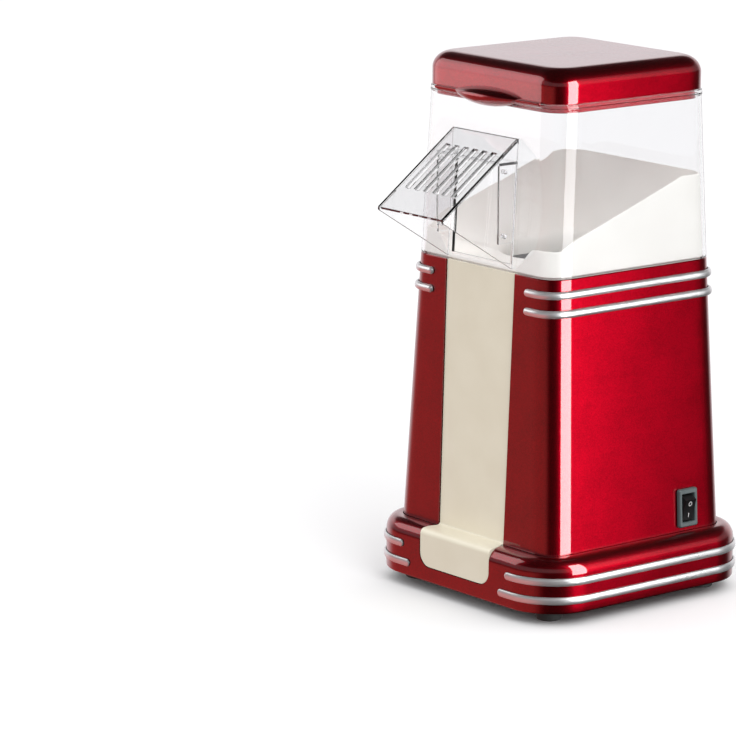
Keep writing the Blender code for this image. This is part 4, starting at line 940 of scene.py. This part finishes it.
# A turned piece: radius and place along its axis, carried once round; the axis runs from centre
# along one of the three directions.
def makeTurned(name, profile, centre, finish, body, stands=(), along=(0.0, 0.0, 1.0), steps=64, **more):
    axis = np.array(along)
    first = np.cross(axis, upright) if abs(axis[2]) < 0.9 else np.array([1.0, 0.0, 0.0])
    first = first / np.linalg.norm(first)
    second = np.cross(axis, first)
    angle = np.linspace(0.0, 2 * np.pi, steps + 1)[:-1]
    radius, place = np.array(profile).T
    points = (np.array(centre) + place[:, None, None] * axis
              + radius[:, None, None] * (np.cos(angle)[:, None] * first + np.sin(angle)[:, None] * second))
    makePiece(name, points, finish, body, stands, **more)


clips = {"y": -0.0680, "heights": (0.2105, 0.2460), "radius": 0.0013, "from": 0.0245, "stands": 0.0007}


# The hood's clip pins: short round heads that come out through the cheeks on both sides.
def makeClips():
    radius, end = clips["radius"], chute["half"] + clips["stands"]
    profile = [(0.0, clips["from"]), (radius, clips["from"]), (radius, end - 0.0002), (radius - 0.0002, end),
               (0.0, end)]
    for number, height in enumerate(clips["heights"]):
        for side, word in ((-1.0, "Left"), (1.0, "Right")):
            makeTurned("clip%s%d" % (word, number + 1), profile, (0.0, clips["y"] + axisY, height),
                       "clearPlastic", "hood", along=(side, 0.0, 0.0), steps=24)


foot = {"radius": 0.0070, "height": 0.0071, "hole": 0.0018, "well": 0.0038, "wellDeep": 0.0034}


# A foot: a round block with eased edges, and a well below for its screw.
def makeFeet():
    radius, height, hole, well, deep = (foot[key] for key in ("radius", "height", "hole", "well", "wellDeep"))
    profile = [(well, 0.0), (radius - 0.0008, 0.0), (radius - 0.0003, 0.0002), (radius, 0.0008),
               (radius, height - 0.0008), (radius - 0.0002, height), (hole, height), (hole, deep),
               (well, deep), (well, 0.0)]
    for node in ("foot_front_left", "foot_front_right", "foot_rear_left", "foot_rear_right"):
        low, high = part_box(node)
        centre = ((low.x + high.x) / 2, (low.y + high.y) / 2, 0.0)
        words = node.split("_")
        makeTurned("foot" + words[1].title() + words[2].title(), profile, centre, "blackRubber", "housing",
                   [node], sharp=30.0)


switch = {"y": 0.0354, "z": 0.05075, "bezel": (0.0109, 0.0070), "box": (0.0094, 0.0060),
          "well": (0.0080, 0.0047), "proud": 0.0026, "deep": 0.0095, "back": 0.0150, "rest": -14.0,
          "pivot": -0.0015, "rockerHalf": 0.0043, "topHalf": 0.0060, "ridge": 0.0045, "rise": 0.0004,
          "reach": 0.0074, "clipped": -0.0042, "offAlong": -0.0036, "onAlong": 0.0031}


# The switch's own directions: up the sloping side, across it, and out from it.
def switchFrame():
    slope = math.atan2(tower["foot"][0] - tower["head"][0], tower["top"] - tower["seam"])
    out = np.array([math.cos(slope), 0.0, math.sin(slope)])
    up = np.array([-math.sin(slope), 0.0, math.cos(slope)])
    face = np.array([float(towerHalf(switch["z"])[0]), switch["y"] + axisY, switch["z"]])
    return face, up, np.array([0.0, 1.0, 0.0]), out


# The bezel: rounded-box rings from the hidden box out over the flange and down into the well.
def makeBezel():
    face, up, across, out = switchFrame()
    box, bezel, well = (np.array(switch[key]) for key in ("box", "bezel", "well"))
    proud, back = switch["proud"], -switch["back"]
    rings = [(box, back, 0.0008), (box, 0.0006, 0.0008), (bezel, 0.0006, 0.0012), (bezel, 0.0018, 0.0012),
             (bezel - 0.0002, 0.0022, 0.0011), (bezel - 0.0007, proud, 0.0009),
             (well + 0.0004, proud, 0.0006), (well, proud - 0.0004, 0.0004), (well, -switch["deep"], 0.0004),
             (box, back, 0.0008)]
    half, rise, corner = (np.array(part) for part in zip(*rings))
    x, y, _ = boxOutline(*half.T, corner, cornerSteps=6, plainSteps=4, blend=corners["round"])
    points = face + x[..., None] * up + y[..., None] * across + rise[:, None, None] * out
    makePiece("switchBezel", points, "bezelPlastic", "housing", ["switch_housing"], sharp=32.0)


# The rocker's top: two shallow hollows that meet in a ridge, ridge plus rise times share to 1.5.
def rockerTop(along):
    share = np.clip(np.abs(along) / switch["topHalf"], 0.0, 1.0)
    return switch["ridge"] + switch["rise"] * share ** 1.5


# A point of the rocker, turned about its pivot by its rest angle. Along runs down the side, and at
# rest the lower end is the one that is pressed in.
def rockerPoint(along, height, sideways):
    face, up, across, out = switchFrame()
    rest = math.radians(switch["rest"])
    pivot = face + switch["pivot"] * out
    alongTurned = along * math.cos(rest) - height * math.sin(rest)
    heightTurned = along * math.sin(rest) + height * math.cos(rest)
    return pivot + alongTurned[..., None] * -up + sideways[..., None] * across + heightTurned[..., None] * out


# The rocker: its top and a clipped arc below it, reach times (cos, sin), drawn from side to side with
# eased sides that are filled from the middle.
def makeRocker():
    top = np.linspace(-switch["topHalf"], switch["topHalf"], 25)
    angle = np.radians(np.linspace(8.0, -188.0, 17))
    along = np.concatenate([top, switch["reach"] * np.cos(angle)])
    height = np.concatenate([rockerTop(top), np.maximum(switch["reach"] * np.sin(angle), switch["clipped"])])
    half, middle = switch["rockerHalf"], -0.0005
    rows = [(-half, 0.0), (-half, 0.90), (-half + 0.0004, 1.0), (half - 0.0004, 1.0), (half, 0.90),
            (half, 0.0)]
    points = [rockerPoint(along * size, middle + (height - middle) * size, np.full(len(along), sideways))
              for sideways, size in rows]
    makePiece("rocker", np.array(points), "blackPlastic", "rocker", ["switch_rocker"], sharp=40.0)


marks = {"ringOut": 0.00125, "ringIn": 0.00092, "ringLong": 1.15, "barHalf": 0.00020, "barLong": 0.0012,
         "sunk": -0.0002, "stands": 0.00006}


# The rocker's marks: a thin ring on the upper half and a short bar on the lower half, each a small
# raised section that starts just under the surface.
def makeMarks():
    lifts = (marks["sunk"], marks["stands"], marks["stands"], marks["sunk"], marks["sunk"])
    angle = np.linspace(0.0, 2 * np.pi, 41)[:-1]
    outer, inner, side = marks["ringOut"], marks["ringIn"], marks["barHalf"]
    rings = []
    for radius, lift in zip((outer, outer, inner, inner, outer), lifts):
        along = switch["offAlong"] + radius * np.cos(angle) * marks["ringLong"]
        rings.append(rockerPoint(along, rockerTop(along) + lift, radius * np.sin(angle)))
    makePiece("offMark", np.array(rings), "markPlastic", "rocker")
    along = switch["onAlong"] + marks["barLong"] * np.linspace(-1.0, 1.0, 7)
    points = np.array([rockerPoint(along, rockerTop(along) + lift, np.full(7, sideways))
                       for sideways, lift in zip((-side, -side, side, side, -side), lifts)])
    count = points.shape[1]
    caps = np.array([[0, count, 2 * count, 3 * count],
                     [count - 1, 4 * count - 1, 3 * count - 1, 2 * count - 1]])
    faces = np.concatenate([gridFaces(*points.shape[:2], loop=False), caps])
    makePiece("onMark", points, "markPlastic", "rocker", faces=faces)


gland = {
    # radius and place out from the back wall, once round the section
    "profile": ((0.0034, 0.0078), (0.0046, 0.0078), (0.0050, 0.0075), (0.0064, 0.0040), (0.0078, 0.0024),
                (0.0082, 0.0020), (0.0082, 0.0004), (0.0054, 0.0004), (0.0054, -0.0075), (0.0034, -0.0075),
                (0.0034, 0.0078)),
}


# The cord's gland: a tapered collar outside the back wall and a sleeve through it.
def makeGland():
    place = (0.0, float(towerHalf(tower["glandZ"])[1]) + axisY, tower["glandZ"])
    makeTurned("glandBush", gland["profile"], place, "blackPlastic", "housing", ["cord_gland"],
               along=(0.0, 1.0, 0.0), sharp=32.0)


makeTower()
makePlinth()
makePanel()
makeTrims()
print("tower and plinth made")
makeSlide()
makeHood()
makeCollar()
makeChutePlate()
makeCheeks()
makeClips()
print("slide, hood and chute made")
makeLid()
makeGrips()
makeFeet()
makeBezel()
makeRocker()
makeMarks()
makeGland()
print("lid, feet, switch and gland made")
